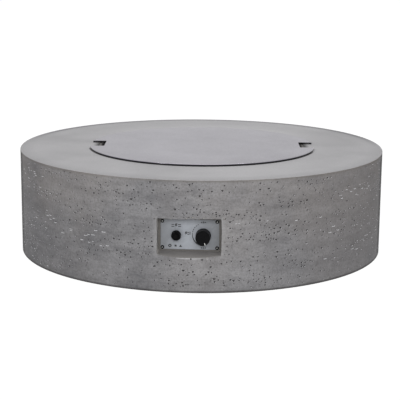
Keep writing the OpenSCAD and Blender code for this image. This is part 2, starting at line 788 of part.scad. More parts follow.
// Bore of one port, from the valve's axis outwards
module port_bore() {
    cylinder(r = passage_r, h = boss_len);
    translate([0, 0, boss_len - port_thread_len])
        cylinder(r = port_thread_r + fit, h = port_thread_len + over);
}

module valve_body() color([0.76, 0.65, 0.4]) on_panel(valve_x, -control_drop) difference() {
    union() {
        translate([0, 0, valve_back]) cylinder(r = valve_r, h = valve_len);
        translate([0, 0, recess_floor - over]) cylinder(r = neck_r, h = neck_out + panel_t + over);
        to_right() cylinder(r = boss_r, h = boss_len);
        to_below() cylinder(r = boss_r, h = boss_len);
    }
    translate([0, 0, plug_front - over]) cylinder(r = stem_r + fit, h = neck_out - plug_front + 2 * over);
    translate([0, 0, plug_back]) cylinder(r = plug_r + fit, h = plug_front - plug_back);
    translate([0, 0, valve_back - over]) cylinder(r = cap_r + fit, h = cap_len + over);
    to_right() port_bore();
    to_below() port_bore();
}

module neck_nut() color([0.72, 0.72, 0.7]) on_panel(valve_x, -control_drop)
    hex_nut(neck_nut_af, neck_nut_t, neck_r + fit);

module valve_plug() color([0.85, 0.72, 0.42]) on_panel(valve_x, -control_drop) difference() {
    translate([0, 0, plug_back + play]) cylinder(r = plug_r, h = plug_front - plug_back - 2 * play);
    rotate(pointer_turn) translate([0, 0, plug_front - play - plug_socket_len])
        d_shaft(stem_r, fit, plug_socket_len + over);
    to_right() cylinder(r = passage_r, h = plug_r + over);
    to_below() cylinder(r = passage_r, h = plug_r + over);
}

module valve_stem() color([0.7, 0.7, 0.72]) on_panel(valve_x, -control_drop) rotate(pointer_turn)
    translate([0, 0, stem_end]) d_shaft(stem_r, 0, stem_tip - stem_end);

module valve_spring() color([0.5, 0.5, 0.52]) on_panel(valve_x, -control_drop)
    spring((stem_r - stem_flat) - 2 * spring_wire_r, plug_front - play - plug_socket_len, stem_end);

module valve_end_cap() color([0.78, 0.66, 0.38]) on_panel(valve_x, -control_drop) {
    translate([0, 0, valve_back]) cylinder(r = cap_r, h = cap_len);
    translate([0, 0, valve_back - cap_head_t]) cylinder(r = hex_r(cap_af), h = cap_head_t, $fn = hex_sides);
}

module valve_inlet_fitting() color([0.8, 0.68, 0.38]) on_panel(valve_x, -control_drop)
    to_right() translate([0, 0, boss_len]) flare_fitting(port_thread_len);

module valve_outlet_fitting() color([0.8, 0.68, 0.38]) on_panel(valve_x, -control_drop)
    to_below() translate([0, 0, boss_len]) flare_fitting(port_thread_len);

// Half section of the knob, with a rounded face and a hollow underside
module knob_section() difference() {
    polygon([[0, knob_gap], [knob_r, knob_gap], [knob_face_r, knob_out], [0, knob_out]]);
    translate([knob_face_r - knob_round, knob_out - knob_round]) difference() {
        square(knob_round + over);
        circle(knob_round);
    }
    translate([0, knob_gap - over])
        square([knob_hub_r, knob_hub_z - knob_gap + over]);
    translate([knob_hub_r, knob_gap - over])
        square([knob_hollow_r - knob_hub_r, knob_out - knob_face_t - knob_gap + over]);
}

// Place of the pointer mark on the knob's face
module at_pointer() rotate(pointer_turn)
    translate([0, knob_face_r - knob_round - pointer_len / 2, knob_out - pointer_t]) children();

module knob() color([0.09, 0.09, 0.1]) on_panel(valve_x, -control_drop) difference() {
    rotate_extrude() knob_section();
    rotate(pointer_turn) translate([0, 0, knob_hub_z - over])
        d_shaft(stem_r, fit, stem_tip - knob_hub_z + over);
    at_pointer() translate([-pointer_w / 2 - fit, -pointer_len / 2 - fit, 0])
        cube([pointer_w + 2 * fit, pointer_len + 2 * fit, pointer_t + over]);
}

module knob_pointer() color([0.95, 0.95, 0.94]) on_panel(valve_x, -control_drop) at_pointer()
    translate([-pointer_w / 2, -pointer_len / 2, 0]) cube([pointer_w, pointer_len, pointer_t]);

module igniter_housing() color([0.12, 0.12, 0.13]) on_panel(-igniter_x, -control_drop) difference() {
    union() {
        translate([0, 0, housing_back]) cylinder(r = housing_r, h = housing_len);
        cylinder(r = bezel_r, h = bezel_t);
    }
    translate([0, 0, battery_z]) cylinder(r = battery_r + fit, h = battery_len + housing_len);
}

module igniter_ring_nut() color([0.16, 0.16, 0.17]) on_panel(-igniter_x, -control_drop)
    translate([0, 0, recess_floor - ring_nut_t]) difference() {
        cylinder(r = ring_nut_r, h = ring_nut_t);
        translate([0, 0, -over]) cylinder(r = housing_r + fit, h = ring_nut_t + 2 * over);
    }

module igniter_cap() color([0.1, 0.1, 0.11]) on_panel(-igniter_x, -control_drop) difference() {
    translate([0, 0, bezel_t]) rotate_extrude() polygon([
        [0, 0], [bezel_r, 0], [bezel_r, igniter_cap_len / 2],
        [igniter_cap_face_r, igniter_cap_len], [0, igniter_cap_len]]);
    translate([0, 0, bezel_t - over])
        cylinder(r = button_collar_r + play, h = igniter_cap_len - igniter_cap_t + over);
    translate([0, 0, bezel_t]) cylinder(r = button_r + fit, h = igniter_cap_len + over);
}

module igniter_button() color([0.05, 0.05, 0.06]) on_panel(-igniter_x, -control_drop) {
    translate([0, 0, collar_z]) cylinder(r = button_r, h = button_top - collar_z);
    translate([0, 0, collar_z]) cylinder(r = button_collar_r, h = button_collar_t);
    translate([0, 0, button_foot_z]) cylinder(r = button_foot_r, h = collar_z - button_foot_z);
}

module igniter_spring() color([0.6, 0.6, 0.6]) on_panel(-igniter_x, -control_drop)
    spring(button_foot_r - 2 * spring_wire_r, battery_front, button_foot_z);

module igniter_battery() color([0.25, 0.35, 0.55]) on_panel(-igniter_x, -control_drop)
    translate([0, 0, battery_z]) cylinder(r = battery_r, h = battery_len);

module spade_terminals() color([0.8, 0.78, 0.7])
    for (y = [-1, 1]) on_panel(-igniter_x, y * spade_offset - control_drop)
        translate([-spade_w / 2, -spade_t / 2, housing_back - spade_len])
            cube([spade_w, spade_t, spade_len]);

// Sleeve that joins a wire to a terminal, centred on the wire's end
module wire_sleeve() difference() {
    translate([0, 0, -sleeve_len / 2]) cylinder(r = sleeve_r, h = sleeve_len);
    translate([0, 0, -sleeve_len / 2 - over]) cylinder(r = wire_r + fit, h = sleeve_len / 2 + over);
}

module wire_sleeves() color([0.85, 0.3, 0.25]) {
    translate(wire_from) wire_sleeve();
    translate(wire_to) rotate([90, 0, 0]) wire_sleeve();
}

module igniter_wire() color([0.75, 0.25, 0.2])
    tube(curve(wire_route, lead_steps), wire_r, lead_sides, [1, 0, 0]);

// Half section of the lid's sheet with its folded rim, whose lower edge is broken on both sides
module lid_section() translate([0, table_h]) difference() {
    union() {
        translate([0, lid_h - lid_t]) square([lid_r, lid_t]);
        polygon([
            [lid_r - lid_t, lid_h], [lid_r - lid_t, lid_edge_break],
            [lid_r - lid_t + lid_edge_break, lid_seat_gap], [lid_r - lid_edge_break, lid_seat_gap],
            [lid_r, lid_edge_break], [lid_r, lid_h]]);
    }
    translate([lid_r - lid_t, lid_h - lid_t]) difference() {
        square(lid_t + over);
        circle(lid_t);
    }
}

// Puts the lid's pieces where the loose lid lies
module on_lid() translate([lid_right, -lid_front, 0]) rotate(lid_turn) children();

module lid() color([0.72, 0.71, 0.73]) on_lid() difference() {
    rotate_extrude() lid_section();
    for (a = [0, 180]) rotate(a) translate([0, 0, table_h - over]) linear_extrude(lid_h + 2 * over)
        translate([lid_r, 0]) round_rect(2 * (lid_r - lid_notch_in_r), lid_notch_w, lid_notch_corner_r);
}

module lid_stiffeners() color([0.6, 0.6, 0.62]) on_lid()
    for (x = [-1, 1])
        translate([x * stiffener_offset - stiffener_w / 2, -stiffener_len / 2,
            table_h + lid_h - lid_t - stiffener_h])
        difference() {
            cube([stiffener_w, stiffener_len, stiffener_h]);
            translate([lid_part_t, -over, lid_part_t])
                cube([stiffener_w - 2 * lid_part_t, stiffener_len + 2 * over, stiffener_h]);
        }

module lid_locators() color([0.6, 0.6, 0.62]) on_lid() {
    tab_r = sqrt(pow(opening_r - locator_play, 2) - pow(locator_w / 2, 2));
    for (a = [45 : 90 : 315]) rotate(a)
        translate([tab_r - lid_part_t, -locator_w / 2, table_h + lid_h - lid_t - locator_h])
        cube([lid_part_t, locator_w, locator_h]);
}

concrete_body();
burner_pan();
burner_ring();
burner_nipple();
pan_locknuts();
air_mixer();
orifice_fitting();
gas_line();
flare_nuts();
pilot_bracket();
bracket_screws();
spark_insulator();
spark_electrode();
thermocouple();
thermocouple_lead();
thermocouple_nut();
control_panel();
panel_screws();
panel_anchors();
valve_body();
neck_nut();
valve_plug();
valve_stem();
valve_spring();
valve_end_cap();
valve_inlet_fitting();
valve_outlet_fitting();
knob();
knob_pointer();
igniter_housing();
igniter_ring_nut();
igniter_cap();
igniter_button();
igniter_spring();
igniter_battery();
spade_terminals();
wire_sleeves();
igniter_wire();
lid();
lid_stiffeners();
lid_locators();
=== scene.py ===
# %% [markdown]
# # A round concrete fire pit table
# The real table is one thin-walled casting of glass-fibre concrete, 1.07 m across. A loose stainless
# lid covers its fire bowl, and a recess in its side holds a small panel with a gas knob and an igniter.
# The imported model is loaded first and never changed. Everything made here is placed from its boxes.

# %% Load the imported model
import json
import math
import random
from collections import namedtuple

import bmesh
import bpy
from mathutils import Matrix, Vector
from mathutils.geometry import delaunay_2d_cdt


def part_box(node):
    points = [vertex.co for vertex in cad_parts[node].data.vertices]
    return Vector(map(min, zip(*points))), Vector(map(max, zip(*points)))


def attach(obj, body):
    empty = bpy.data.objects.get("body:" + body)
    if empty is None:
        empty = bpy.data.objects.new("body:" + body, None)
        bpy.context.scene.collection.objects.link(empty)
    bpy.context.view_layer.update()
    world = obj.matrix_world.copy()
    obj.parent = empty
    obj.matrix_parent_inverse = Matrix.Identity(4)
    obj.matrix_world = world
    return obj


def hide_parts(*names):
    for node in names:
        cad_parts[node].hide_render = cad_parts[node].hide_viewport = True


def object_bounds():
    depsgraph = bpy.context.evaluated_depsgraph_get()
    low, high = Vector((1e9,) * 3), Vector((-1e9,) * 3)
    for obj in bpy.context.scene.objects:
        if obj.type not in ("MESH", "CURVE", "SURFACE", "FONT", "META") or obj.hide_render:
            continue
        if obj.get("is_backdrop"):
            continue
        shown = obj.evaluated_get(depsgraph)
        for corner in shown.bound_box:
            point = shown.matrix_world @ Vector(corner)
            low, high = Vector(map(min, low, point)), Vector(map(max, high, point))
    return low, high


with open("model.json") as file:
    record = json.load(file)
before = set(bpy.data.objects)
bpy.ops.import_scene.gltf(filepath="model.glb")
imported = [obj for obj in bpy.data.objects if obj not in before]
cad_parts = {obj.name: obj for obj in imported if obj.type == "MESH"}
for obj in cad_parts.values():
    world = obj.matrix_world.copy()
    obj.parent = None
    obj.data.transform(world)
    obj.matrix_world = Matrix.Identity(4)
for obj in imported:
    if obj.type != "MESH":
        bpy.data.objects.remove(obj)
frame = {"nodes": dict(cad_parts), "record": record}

MM = 0.001
cad_low, cad_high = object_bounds()
nodes = frame["nodes"]

# %% [markdown]
# ## Sizes
# The frame gives the main sizes: the drum, the lid, the panel and the axes of the knob and the
# igniter. Sizes in the panel's own frame are in millimetres, all others in metres. Sizes that the
# frame can't give, such as how deep an air hole in the casting is, are named next to their piece.

# %% Sizes taken from the frame
drum_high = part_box("concrete_body")[1]
lid_low, lid_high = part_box("lid")
panel_low, panel_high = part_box("control_panel")
knob_low, knob_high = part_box("knob")
cap_low, cap_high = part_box("igniter_cap")
DRUM_R = drum_high[0]
DRUM_H = drum_high[2]
LID_R = (lid_high[1] - lid_low[1]) / 2
LID_TOP = lid_high[2]
LID_TURN = math.radians(3)
LID_MIDDLE = Vector(((lid_low[0] + lid_high[0]) / 2, (lid_low[1] + lid_high[1]) / 2, 0))
PANEL_Y = panel_low[1]
PANEL_Z = (panel_low[2] + panel_high[2]) / 2
AXIS_Z = (knob_low[2] + knob_high[2]) / 2 / MM
AXIS_UP = AXIS_Z - PANEL_Z / MM
KNOB_X = (knob_low[0] + knob_high[0]) / 2 / MM
IGNITER_X = (cap_low[0] + cap_high[0]) / 2 / MM
print(f"drum radius {DRUM_R:.3f} m, height {DRUM_H:.3f} m, panel face at y {PANEL_Y:.4f} m")

# %% [markdown]
# ## Node helpers
# Colours are written as the hex values that a paint chart gives, and one function turns them to the
# linear values that the renderer works in. One more function adds any shader or geometry node with
# its settings and its links. The short ones after it stand for the nodes that come back most, so
# that a node tree reads as a short list.

# %% Colour and node helpers
def srgb(code):
    """Linear RGBA of a hex colour such as "8a8c8e"."""
    parts = [int(code[i:i + 2], 16) / 255 for i in (0, 2, 4)]
    linear = [c / 12.92 if c <= 0.04045 else ((c + 0.055) / 1.055) ** 2.4 for c in parts]
    return (*linear, 1)


def add(tree, kind, inputs=None, stops=(), **settings):
    """Adds a node, gives it its settings, and sets or links its inputs by name or number.

    A node that is given as an input's value is linked by its first active output.
    """
    prefixes = ("", "GeometryNode", "ShaderNode") if tree.type == "GEOMETRY" else ("ShaderNode",)
    node = tree.nodes.new(next(p + kind for p in prefixes if hasattr(bpy.types, p + kind)))
    for name, value in settings.items():
        setattr(node, name, value)
    for name, value in (inputs or {}).items():
        if isinstance(value, bpy.types.Node):
            value = next(o for o in value.outputs if o.enabled)
        if isinstance(value, bpy.types.NodeSocket):
            tree.links.new(value, node.inputs[name])
        else:
            node.inputs[name].default_value = value
    for i, (place, code) in enumerate(stops):
        points = node.color_ramp.elements
        point = points[i] if i < 2 else points.new(place)
        point.position = place
        point.color = srgb(code)
    return node


def tree_of(*values):
    """The tree of the first node or socket among the values."""
    return next(v.id_data for v in values if hasattr(v, "id_data"))


def combine(operation, *values):
    """Math nodes that work through the values in their order."""
    result = values[0]
    for value in values[1:] or (0.0,):
        result = add(tree_of(*values), "Math", {0: result, 1: value}, operation=operation)
    return result


def times(*values):
    """The product of the values."""
    return combine("MULTIPLY", *values)


def opposite(share):
    """One less a share."""
    return combine("SUBTRACT", 1.0, share)


def ramp(value, start, end, low=0.0, high=1.0, **settings):
    """Runs from low to high while the value runs from start to end."""
    return add(tree_of(value), "MapRange", {"Value": value, "From Min": start, "From Max": end,
                                            "To Min": low, "To Max": high}, **settings)


def blend(first, second, share):
    """Mixes two values by a share."""
    return add(tree_of(first, second, share), "Mix", {0: share, 2: first, 3: second})


def tint(colour, over, share, **settings):
    """Lays a colour over another by a share. A colour is a node or a hex value."""
    colour, over = (srgb(c) if isinstance(c, str) else c for c in (colour, over))
    return add(tree_of(share), "Mix", {0: share, 6: colour, 7: over}, data_type="RGBA", **settings)


def palette(value, *stops):
    """Turns a value to a colour, from stops of (value, hex colour)."""
    return add(tree_of(value), "ValToRGB", {0: value}, stops)


def noise(place, scale, detail, roughness=0.5):
    """Noise with a number of grains per metre."""
    return add(tree_of(place), "TexNoise", {"Vector": place, "Scale": scale, "Detail": detail,
                                            "Roughness": roughness})


def stretched(place, scale):
    """A place with its axes scaled."""
    return add(tree_of(place), "Mapping", {"Vector": place, "Scale": scale})


def bump(height, depth, strength, **inputs):
    """A normal that follows a height."""
    return add(tree_of(height), "Bump", {"Height": height, "Distance": depth, "Strength": strength,
                                         **inputs})


def axes(place):
    """The X, Y and Z of a place or a direction."""
    return tuple(add(tree_of(place), "SeparateXYZ", {0: place}).outputs)


def new_material(name, **constants):
    """A material with a principled shader, whose constants are set on its own sockets."""
    material = bpy.data.materials.new(name)
    material.use_nodes = True
    shader = material.node_tree.nodes["Principled BSDF"]
    for socket, value in constants.items():
        shader.inputs[socket.replace("_", " ")].default_value = value
    place = add(material.node_tree, "TexCoord").outputs["Object"]
    return material, shader, place


def link_shader(shader, **sockets):
    """Links nodes to the shader's sockets."""
    for socket, node in sockets.items():
        output = next(o for o in node.outputs if o.enabled)
        shader.id_data.links.new(output, shader.inputs[socket.replace("_", " ")])


# %% [markdown]
# ## Mesh helpers
# Most pieces are turned on a lathe or cast, so one function spins a half section into a closed mesh.
# Others place a finished mesh on the drum's front, set which edges are crisp, and cut one closed
# mesh with another.

# %% Mesh helpers
def new_object(name, data):
    """An object at the origin of the scene."""
    made = bpy.data.objects.new(name, data)
    bpy.context.scene.collection.objects.link(made)
    return made


def make_object(name, points, faces=(), edges=()):
    """A mesh object at the origin."""
    mesh = bpy.data.meshes.new(name)
    mesh.from_pydata([tuple(p) for p in points], edges, [tuple(f) for f in faces])
    mesh.update()
    return new_object(name, mesh)


def crisp(piece, degrees=30):
    """Smooth shading, except over edges sharper than the angle."""
    mesh = bmesh.new()
    mesh.from_mesh(piece.data)
    for face in mesh.faces:
        face.smooth = True
    for edge in mesh.edges:
        edge.smooth = edge.calc_face_angle(math.pi) < math.radians(degrees)
    mesh.to_mesh(piece.data)
    mesh.free()


def outward(piece):
    """Turns all faces of a closed piece outwards."""
    mesh = bmesh.new()
    mesh.from_mesh(piece.data)
    bmesh.ops.remove_doubles(mesh, verts=mesh.verts, dist=1e-6)
    bmesh.ops.recalc_face_normals(mesh, faces=mesh.faces)
    mesh.to_mesh(piece.data)
    mesh.free()


def solid(name, points, faces):
    """A closed mesh object with its faces outwards."""
    piece = make_object(name, points, faces)
    outward(piece)
    return piece


def add_ring(points, radius, height, steps, first=0.0):
    """Adds a ring of points about Z, and gives back their numbers."""
    turns = [2 * math.pi * k / steps + first for k in range(steps)]
    points += [(radius * math.cos(a), radius * math.sin(a), height) for a in turns]
    return list(range(len(points) - steps, len(points)))


def between(low, high):
    """Four-sided faces between two rings of numbered points."""
    return list(zip(low, low[1:] + low[:1], high[1:] + high[:1], high))


def lathe(section, steps):
    """Points and faces of a closed half section [(radius, height)] spun about Z."""
    points, faces, rings = [], [], []
    for radius, height in section:
        if radius > 1e-7:
            rings.append(add_ring(points, radius, height, steps))
        else:
            points.append((0, 0, height))
            rings.append([len(points) - 1] * steps)
    for low, high in zip(rings, rings[1:] + rings[:1]):
        on_axis = low[0] == low[1] and high[0] == high[1]
        if not on_axis:
            faces += [list(dict.fromkeys(corners)) for corners in between(low, high)]
    return points, faces


def turned(name, section, steps):
    """A closed piece turned from a half section in mm."""
    piece = solid(name, *lathe([(radius * MM, height * MM) for radius, height in section], steps))
    crisp(piece)
    return piece


def arc(centre_r, centre_z, radius, start, end, steps=6):
    """Points of an arc in a half section, with angles in degrees."""
    turns = [math.radians(start + (end - start) * k / steps) for k in range(steps + 1)]
    return [(centre_r + radius * math.cos(a), centre_z + radius * math.sin(a)) for a in turns]


def stack(loops):
    """Points and faces of loops of equal length, with both ends closed."""
    points = [p for loop in loops for p in loop]
    rings = [list(range(i, i + len(loops[0]))) for i in range(0, len(points), len(loops[0]))]
    faces = [face for low, high in zip(rings, rings[1:]) for face in between(low, high)]
    return points, [*faces, rings[0][::-1], rings[-1]]


def final_mesh(piece):
    """A plain mesh of an object as it shows, with its modifiers."""
    graph = bpy.context.evaluated_depsgraph_get()
    return bpy.data.meshes.new_from_object(piece.evaluated_get(graph))


def apply_modifiers(piece):
    """Turns a piece and its modifiers into one plain mesh."""
    mesh = final_mesh(piece)
    piece.modifiers.clear()
    piece.data = mesh


def cut(piece, cutter, operation="DIFFERENCE"):
    """Cuts or joins a closed piece with another, which is then deleted."""
    modifier = piece.modifiers.new("cut", "BOOLEAN")
    modifier.operation = operation
    modifier.solver = "MANIFOLD"
    modifier.object = cutter
    apply_modifiers(piece)
    bpy.data.objects.remove(cutter)


def on_panel(point):
    """A point of the panel's own frame (right, up, out, in mm) in the row frame."""
    right, up, out = point
    return (right * MM, PANEL_Y - out * MM, PANEL_Z + up * MM)


def spin(degrees):
    """A turn about Z."""
    return Matrix.Rotation(math.radians(degrees), 4, "Z")


def to_panel(piece, right, up, out=0.0, turn=0.0):
    """Stands a mesh made along Z on the panel. Its object stays at the origin."""
    upright = Matrix.Rotation(math.radians(90), 4, "X")
    piece.data.transform(Matrix.Translation(on_panel((right, up, out))) @ upright @ spin(turn))


def finish_piece(piece, body, slot, material, *replaced):
    """Dresses a piece in its material, if one is given, hangs it on the body that it rides on and hides the
    CAD nodes that it stands for. Its slot is not used.
    """
    if material:
        piece.data.materials.clear()
        piece.data.materials.append(material)
    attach(piece, body)
    if replaced:
        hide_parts(*replaced)
    print(piece.name, "faces:", len(piece.data.polygons))


# %% [markdown]
# ## Camera
# The photograph was taken from in front and above, with a long lens. The camera's place was worked
# out from the drum's two ellipses. It stands 3.5 m away and a few degrees to the right of the
# panel's middle. Depth of field stays off.

# %% Camera
EYE = Vector((0.2004, -3.5072, 0.8903))
LOOK_TURN = math.radians(3.32)
LOOK_DOWN = math.radians(-12.17)
ROLL = 0.45
SENSOR = 36
FOCAL = 107.2
SEES_TO = 100


def looking(place, direction):
    """Stands a camera or a lamp at a place, looking along a direction."""
    return Matrix.Translation(place) @ direction.to_track_quat("-Z", "Y").to_matrix().to_4x4()


camera_data = bpy.data.cameras.new("camera")
camera_data.sensor_width = SENSOR
camera_data.lens = FOCAL
camera_data.clip_end = SEES_TO
camera = new_object("camera", camera_data)
look = Vector((-math.sin(LOOK_TURN) * math.cos(LOOK_DOWN), math.cos(LOOK_TURN) * math.cos(LOOK_DOWN),
               math.sin(LOOK_DOWN)))
camera.matrix_world = looking(EYE, look) @ spin(ROLL)
bpy.context.scene.camera = camera
print("camera at", [round(v, 3) for v in EYE])

# %% [markdown]
# ## The pitted side of the drum
# A wall cast in a mould keeps the air bubbles that were trapped against it: round holes 3 to 6 mm
# wide, longer ones where bubbles joined, and shallow scoops, whose lower lip gets a painted highlight
# in the material. They lie in loose level lines, where one batch of concrete met the next. The wall is
# made unrolled: each hole is an outline in a flat net of triangles, and the net is then wrapped round
# the drum. The holes are real hollows in the mesh, not only a pattern in the material, and the material
# also paints shade into them.

# %% Where the air holes lie
WALL_LENGTH = 2 * math.pi * DRUM_R
EDGE_ROUND = 2 * MM
COLUMNS = 240
ROWS = 20
HOLE_SEED = 11
HOLE_GAP = 0.7 * MM
CLEAR_FOOT, CLEAR_RIM, CLEAR_SEAM = 6 * MM, 8 * MM, 12 * MM
CELL = 20 * MM
BUBBLE_LINES, LONE_BUBBLES, SCOOP_GROUPS = 200, 1500, 62
# A hole's floor is shifted up by its lean, in half heights, so that a scoop gets a lower lip.
SCOOP_LEAN = 0.5
Hole = namedtuple("Hole", "along height half_length half_height depth lean")


def cell_of(along, height):
    """The square cell of the unrolled wall that a place lies in."""
    return int(along / CELL), int(height / CELL)


def neighbours(cells, along, height):
    """The holes in the cells round a place."""
    column, row = cell_of(along, height)
    return [h for i in (-1, 0, 1) for j in (-1, 0, 1) for h in cells.get((column + i, row + j), [])]


def scatter_holes(rng):
    """All holes of the wall, as a list and by cell. A hole that would touch another is left out."""
    holes = []
    cells = {}

    def try_hole(along, height, half_length, half_height, depth, lean=0.0):
        if not (CLEAR_FOOT < height < DRUM_H - CLEAR_RIM and CLEAR_SEAM < along < WALL_LENGTH - CLEAR_SEAM):
            return
        for other in neighbours(cells, along, height):
            room = abs(along - other.along) - half_length - other.half_length
            rise = abs(height - other.height) - half_height - other.half_height
            if room < HOLE_GAP and rise < HOLE_GAP:
                return
        holes.append(Hole(along, height, half_length, half_height, depth, lean))
        cells.setdefault(cell_of(along, height), []).append(holes[-1])

    for _ in range(BUBBLE_LINES):
        middle = rng.uniform(0, WALL_LENGTH)
        level = rng.uniform(0.03, 0.98) * DRUM_H
        spread = rng.uniform(20, 80) * MM
        for _ in range(rng.randint(6, 18)):
            half = rng.choice([1.5, 1.8, 2.1, 2.4, 2.8]) * MM
            try_hole(middle + rng.gauss(0, 1) * spread, level + rng.gauss(0, 5) * MM,
                     half * rng.uniform(0.9, 1.7), half * rng.uniform(0.8, 1.05),
                     rng.uniform(2.4, 4.0) * MM)
    for _ in range(LONE_BUBBLES):
        half = rng.choice([1.3, 1.6, 1.9, 2.3]) * MM
        try_hole(rng.uniform(0, WALL_LENGTH), rng.uniform(0, DRUM_H), half * rng.uniform(0.9, 1.5), half,
                 rng.uniform(2.0, 3.4) * MM)
    for _ in range(SCOOP_GROUPS):
        middle = rng.uniform(0, WALL_LENGTH)
        level = rng.uniform(0.04, 0.95) * DRUM_H
        for _ in range(rng.randint(4, 11)):
            try_hole(middle + rng.gauss(0, 45) * MM, level + rng.gauss(0, 8) * MM,
                     rng.uniform(2.5, 8.5) * MM, rng.uniform(1.2, 2.1) * MM, rng.uniform(0.9, 1.4) * MM,
                     SCOOP_LEAN)
    return holes, cells


hole_rng = random.Random(HOLE_SEED)
holes, hole_cells = scatter_holes(hole_rng)
print("air holes in the wall:", len(holes))

# %% The flat net of triangles with a hole outline for each bubble
RIM_POINTS = 8
# A ring inside each hole is this share of its rim's size and of its depth.
RING_SIZE, RING_DEPTH = 0.62, 0.85
# The deepest point leans a little more than the ring, and the net keeps this many half sizes away.
POINT_LEAN = 1.2
CLEAR_HALVES = 1.4


def hole_outline(rng, hole):
    """Uneven outline of one hole on the unrolled wall."""
    outline = []
    for k in range(RIM_POINTS):
        turn = 2 * math.pi * (k + rng.uniform(-0.2, 0.2)) / RIM_POINTS
        swell = rng.uniform(0.82, 1.12)
        outline.append((hole.along + hole.half_length * swell * math.cos(turn),
                        hole.height + hole.half_height * swell * math.sin(turn)))
    return outline


def wrap(along, height, depth=0.0):
    """Point on the drum at a place of the unrolled wall. The seam is at the rear."""
    turn = along / DRUM_R + math.pi / 2
    return ((DRUM_R - depth) * math.cos(turn), (DRUM_R - depth) * math.sin(turn), height)


def wall_net(rng):
    """Points and faces of the wall, with every hole sunk into it."""
    flat = [p for hole in holes for p in hole_outline(rng, hole)]
    rims = [list(range(i * RIM_POINTS, (i + 1) * RIM_POINTS)) for i in range(len(holes))]
    for row in range(ROWS + 1):
        height = (DRUM_H - EDGE_ROUND) * row / ROWS
        for column in range(COLUMNS + 1):
            along = WALL_LENGTH * column / COLUMNS
            if all(abs(along - hole.along) > hole.half_length * CLEAR_HALVES
                   or abs(height - hole.height) > hole.half_height * CLEAR_HALVES
                   for hole in neighbours(hole_cells, along, height)):
                flat.append((along, height))
    flat_points, _, flat_faces, origin, _, sources = delaunay_2d_cdt(flat, [], rims, 0, 1e-6)
    index_of = {old: new for new, olds in enumerate(origin) for old in olds}
    points = [wrap(p[0], p[1]) for p in flat_points]
    faces = [f for f, source in zip(flat_faces, sources) if not source]
    for hole, rim in zip(holes, rims):
        along, height, _, half_height, depth, lean = hole
        outer = [index_of[i] for i in rim]
        start = len(points)
        for x, y in (flat_points[i] for i in outer):
            points.append(wrap(along + (x - along) * RING_SIZE,
                               height + (y - height) * RING_SIZE + lean * half_height,
                               depth * RING_DEPTH))
        points.append(wrap(along, height + lean * half_height * POINT_LEAN, depth))
        for k in range(RIM_POINTS):
            after = (k + 1) % RIM_POINTS
            faces.append((outer[k], outer[after], start + after, start + k))
            faces.append((start + k, start + after, start + RIM_POINTS))
    return points, faces


wall_points, wall_faces = wall_net(hole_rng)
print("wall points:", len(wall_points), "faces:", len(wall_faces))

# %% [markdown]
# ## The casting
# A blank drum is closed with the pitted wall, a rounded top edge and two flat ends. The hollow
# below, the fire opening with its ledge, the control recess and the hose notch are then cut out of
# it with closed cutters, much as cores leave those spaces in the mould.

# %% Close the blank drum
def close_blank(points, faces):
    """Adds the rounded top edge and both ends to the wall."""
    edge = arc(DRUM_R - EDGE_ROUND, DRUM_H - EDGE_ROUND, EDGE_ROUND, 0, 90, 4)
    *rounded, rim, base = [add_ring(points, radius, height, COLUMNS, math.pi / 2)
                           for radius, height in [*edge[1:], edge[0], (DRUM_R, 0)]]
    for low, high in zip([rim, *rounded], rounded):
        faces += between(low, high)
    return points, [*faces, rounded[-1], base[::-1]]


casting = solid("cast_drum", *close_blank(wall_points, wall_faces))
print("blank drum faces:", len(casting.data.polygons))

# %% Cut the hollow, the opening and its ledge
WALL = 18 * MM
TOP_T = 24 * MM
OPENING_R = 300 * MM
OPENING_ROUND = 8 * MM
LEDGE_Z = DRUM_H - 22 * MM
LEDGE_T = 20 * MM
LEDGE_R = 280 * MM
COLLAR_R = 324 * MM
INNER_ROUND = 12 * MM
OVER = 5 * MM
inner_r, ceiling = DRUM_R - WALL, DRUM_H - TOP_T
hollow = [(0, -OVER), (inner_r, -OVER)]
hollow += arc(inner_r - INNER_ROUND, ceiling - INNER_ROUND, INNER_ROUND, 0, 90)
hollow += [(COLLAR_R, ceiling), (COLLAR_R, LEDGE_Z - LEDGE_T), (LEDGE_R, LEDGE_Z - LEDGE_T),
           (LEDGE_R, LEDGE_Z), (OPENING_R, LEDGE_Z)]
hollow += arc(OPENING_R + OPENING_ROUND, DRUM_H - OPENING_ROUND, OPENING_ROUND, 180, 90)
hollow += [(OPENING_R + OPENING_ROUND, DRUM_H + OVER), (0, DRUM_H + OVER)]
cut(casting, solid("core", *lathe(hollow, 180)))
print("hollow drum faces:", len(casting.data.polygons))

# %% [markdown]
# The recess is drafted so that its core can be pulled out, and its edges are rounded and a little
# uneven where the paste crept under the core. Its sill is worn down towards the middle. The cutter
# is a stack of loops between the flat floor and the drum's curved face, and the last loops flare
# out to round the mouth.

# %% Cut the control recess
RECESS_W, RECESS_H, RECESS_CORNER = 165, 89, 5
RECESS_DRAFT = 3.4
SIDE_DRAFT = 1.2
RECESS_DEPTH = (DRUM_R + PANEL_Y) / MM
RECESS_WALL = 16
SILL_WORN = 7.6
SILL_ENDS = 0.08
RECESS_SEED = 5
NEAR_WALL = 0.93
PANEL_T = 1.5
THROUGH = 2
# Each loop of the cutter: its share of the way out, the flare of the mouth in mm and its roughness.
MOUTH_STEPS = ((0, 0, 0), (0.08, 0, 0.2), (0.3, 0, 0.4), (0.6, 0, 0.5), (0.82, 0, 0.6), (0.91, 0.2, 0.7),
               (0.96, 0.7, 0.8), (1.0, 1.6, 0.9), (1.06, 3.4, 1.0))
BLOCK_W, BLOCK_H, BLOCK_OUT = RECESS_W + 2 * RECESS_WALL, RECESS_H + 2 * RECESS_WALL, 27
APERTURE_W, APERTURE_H = 104, 44


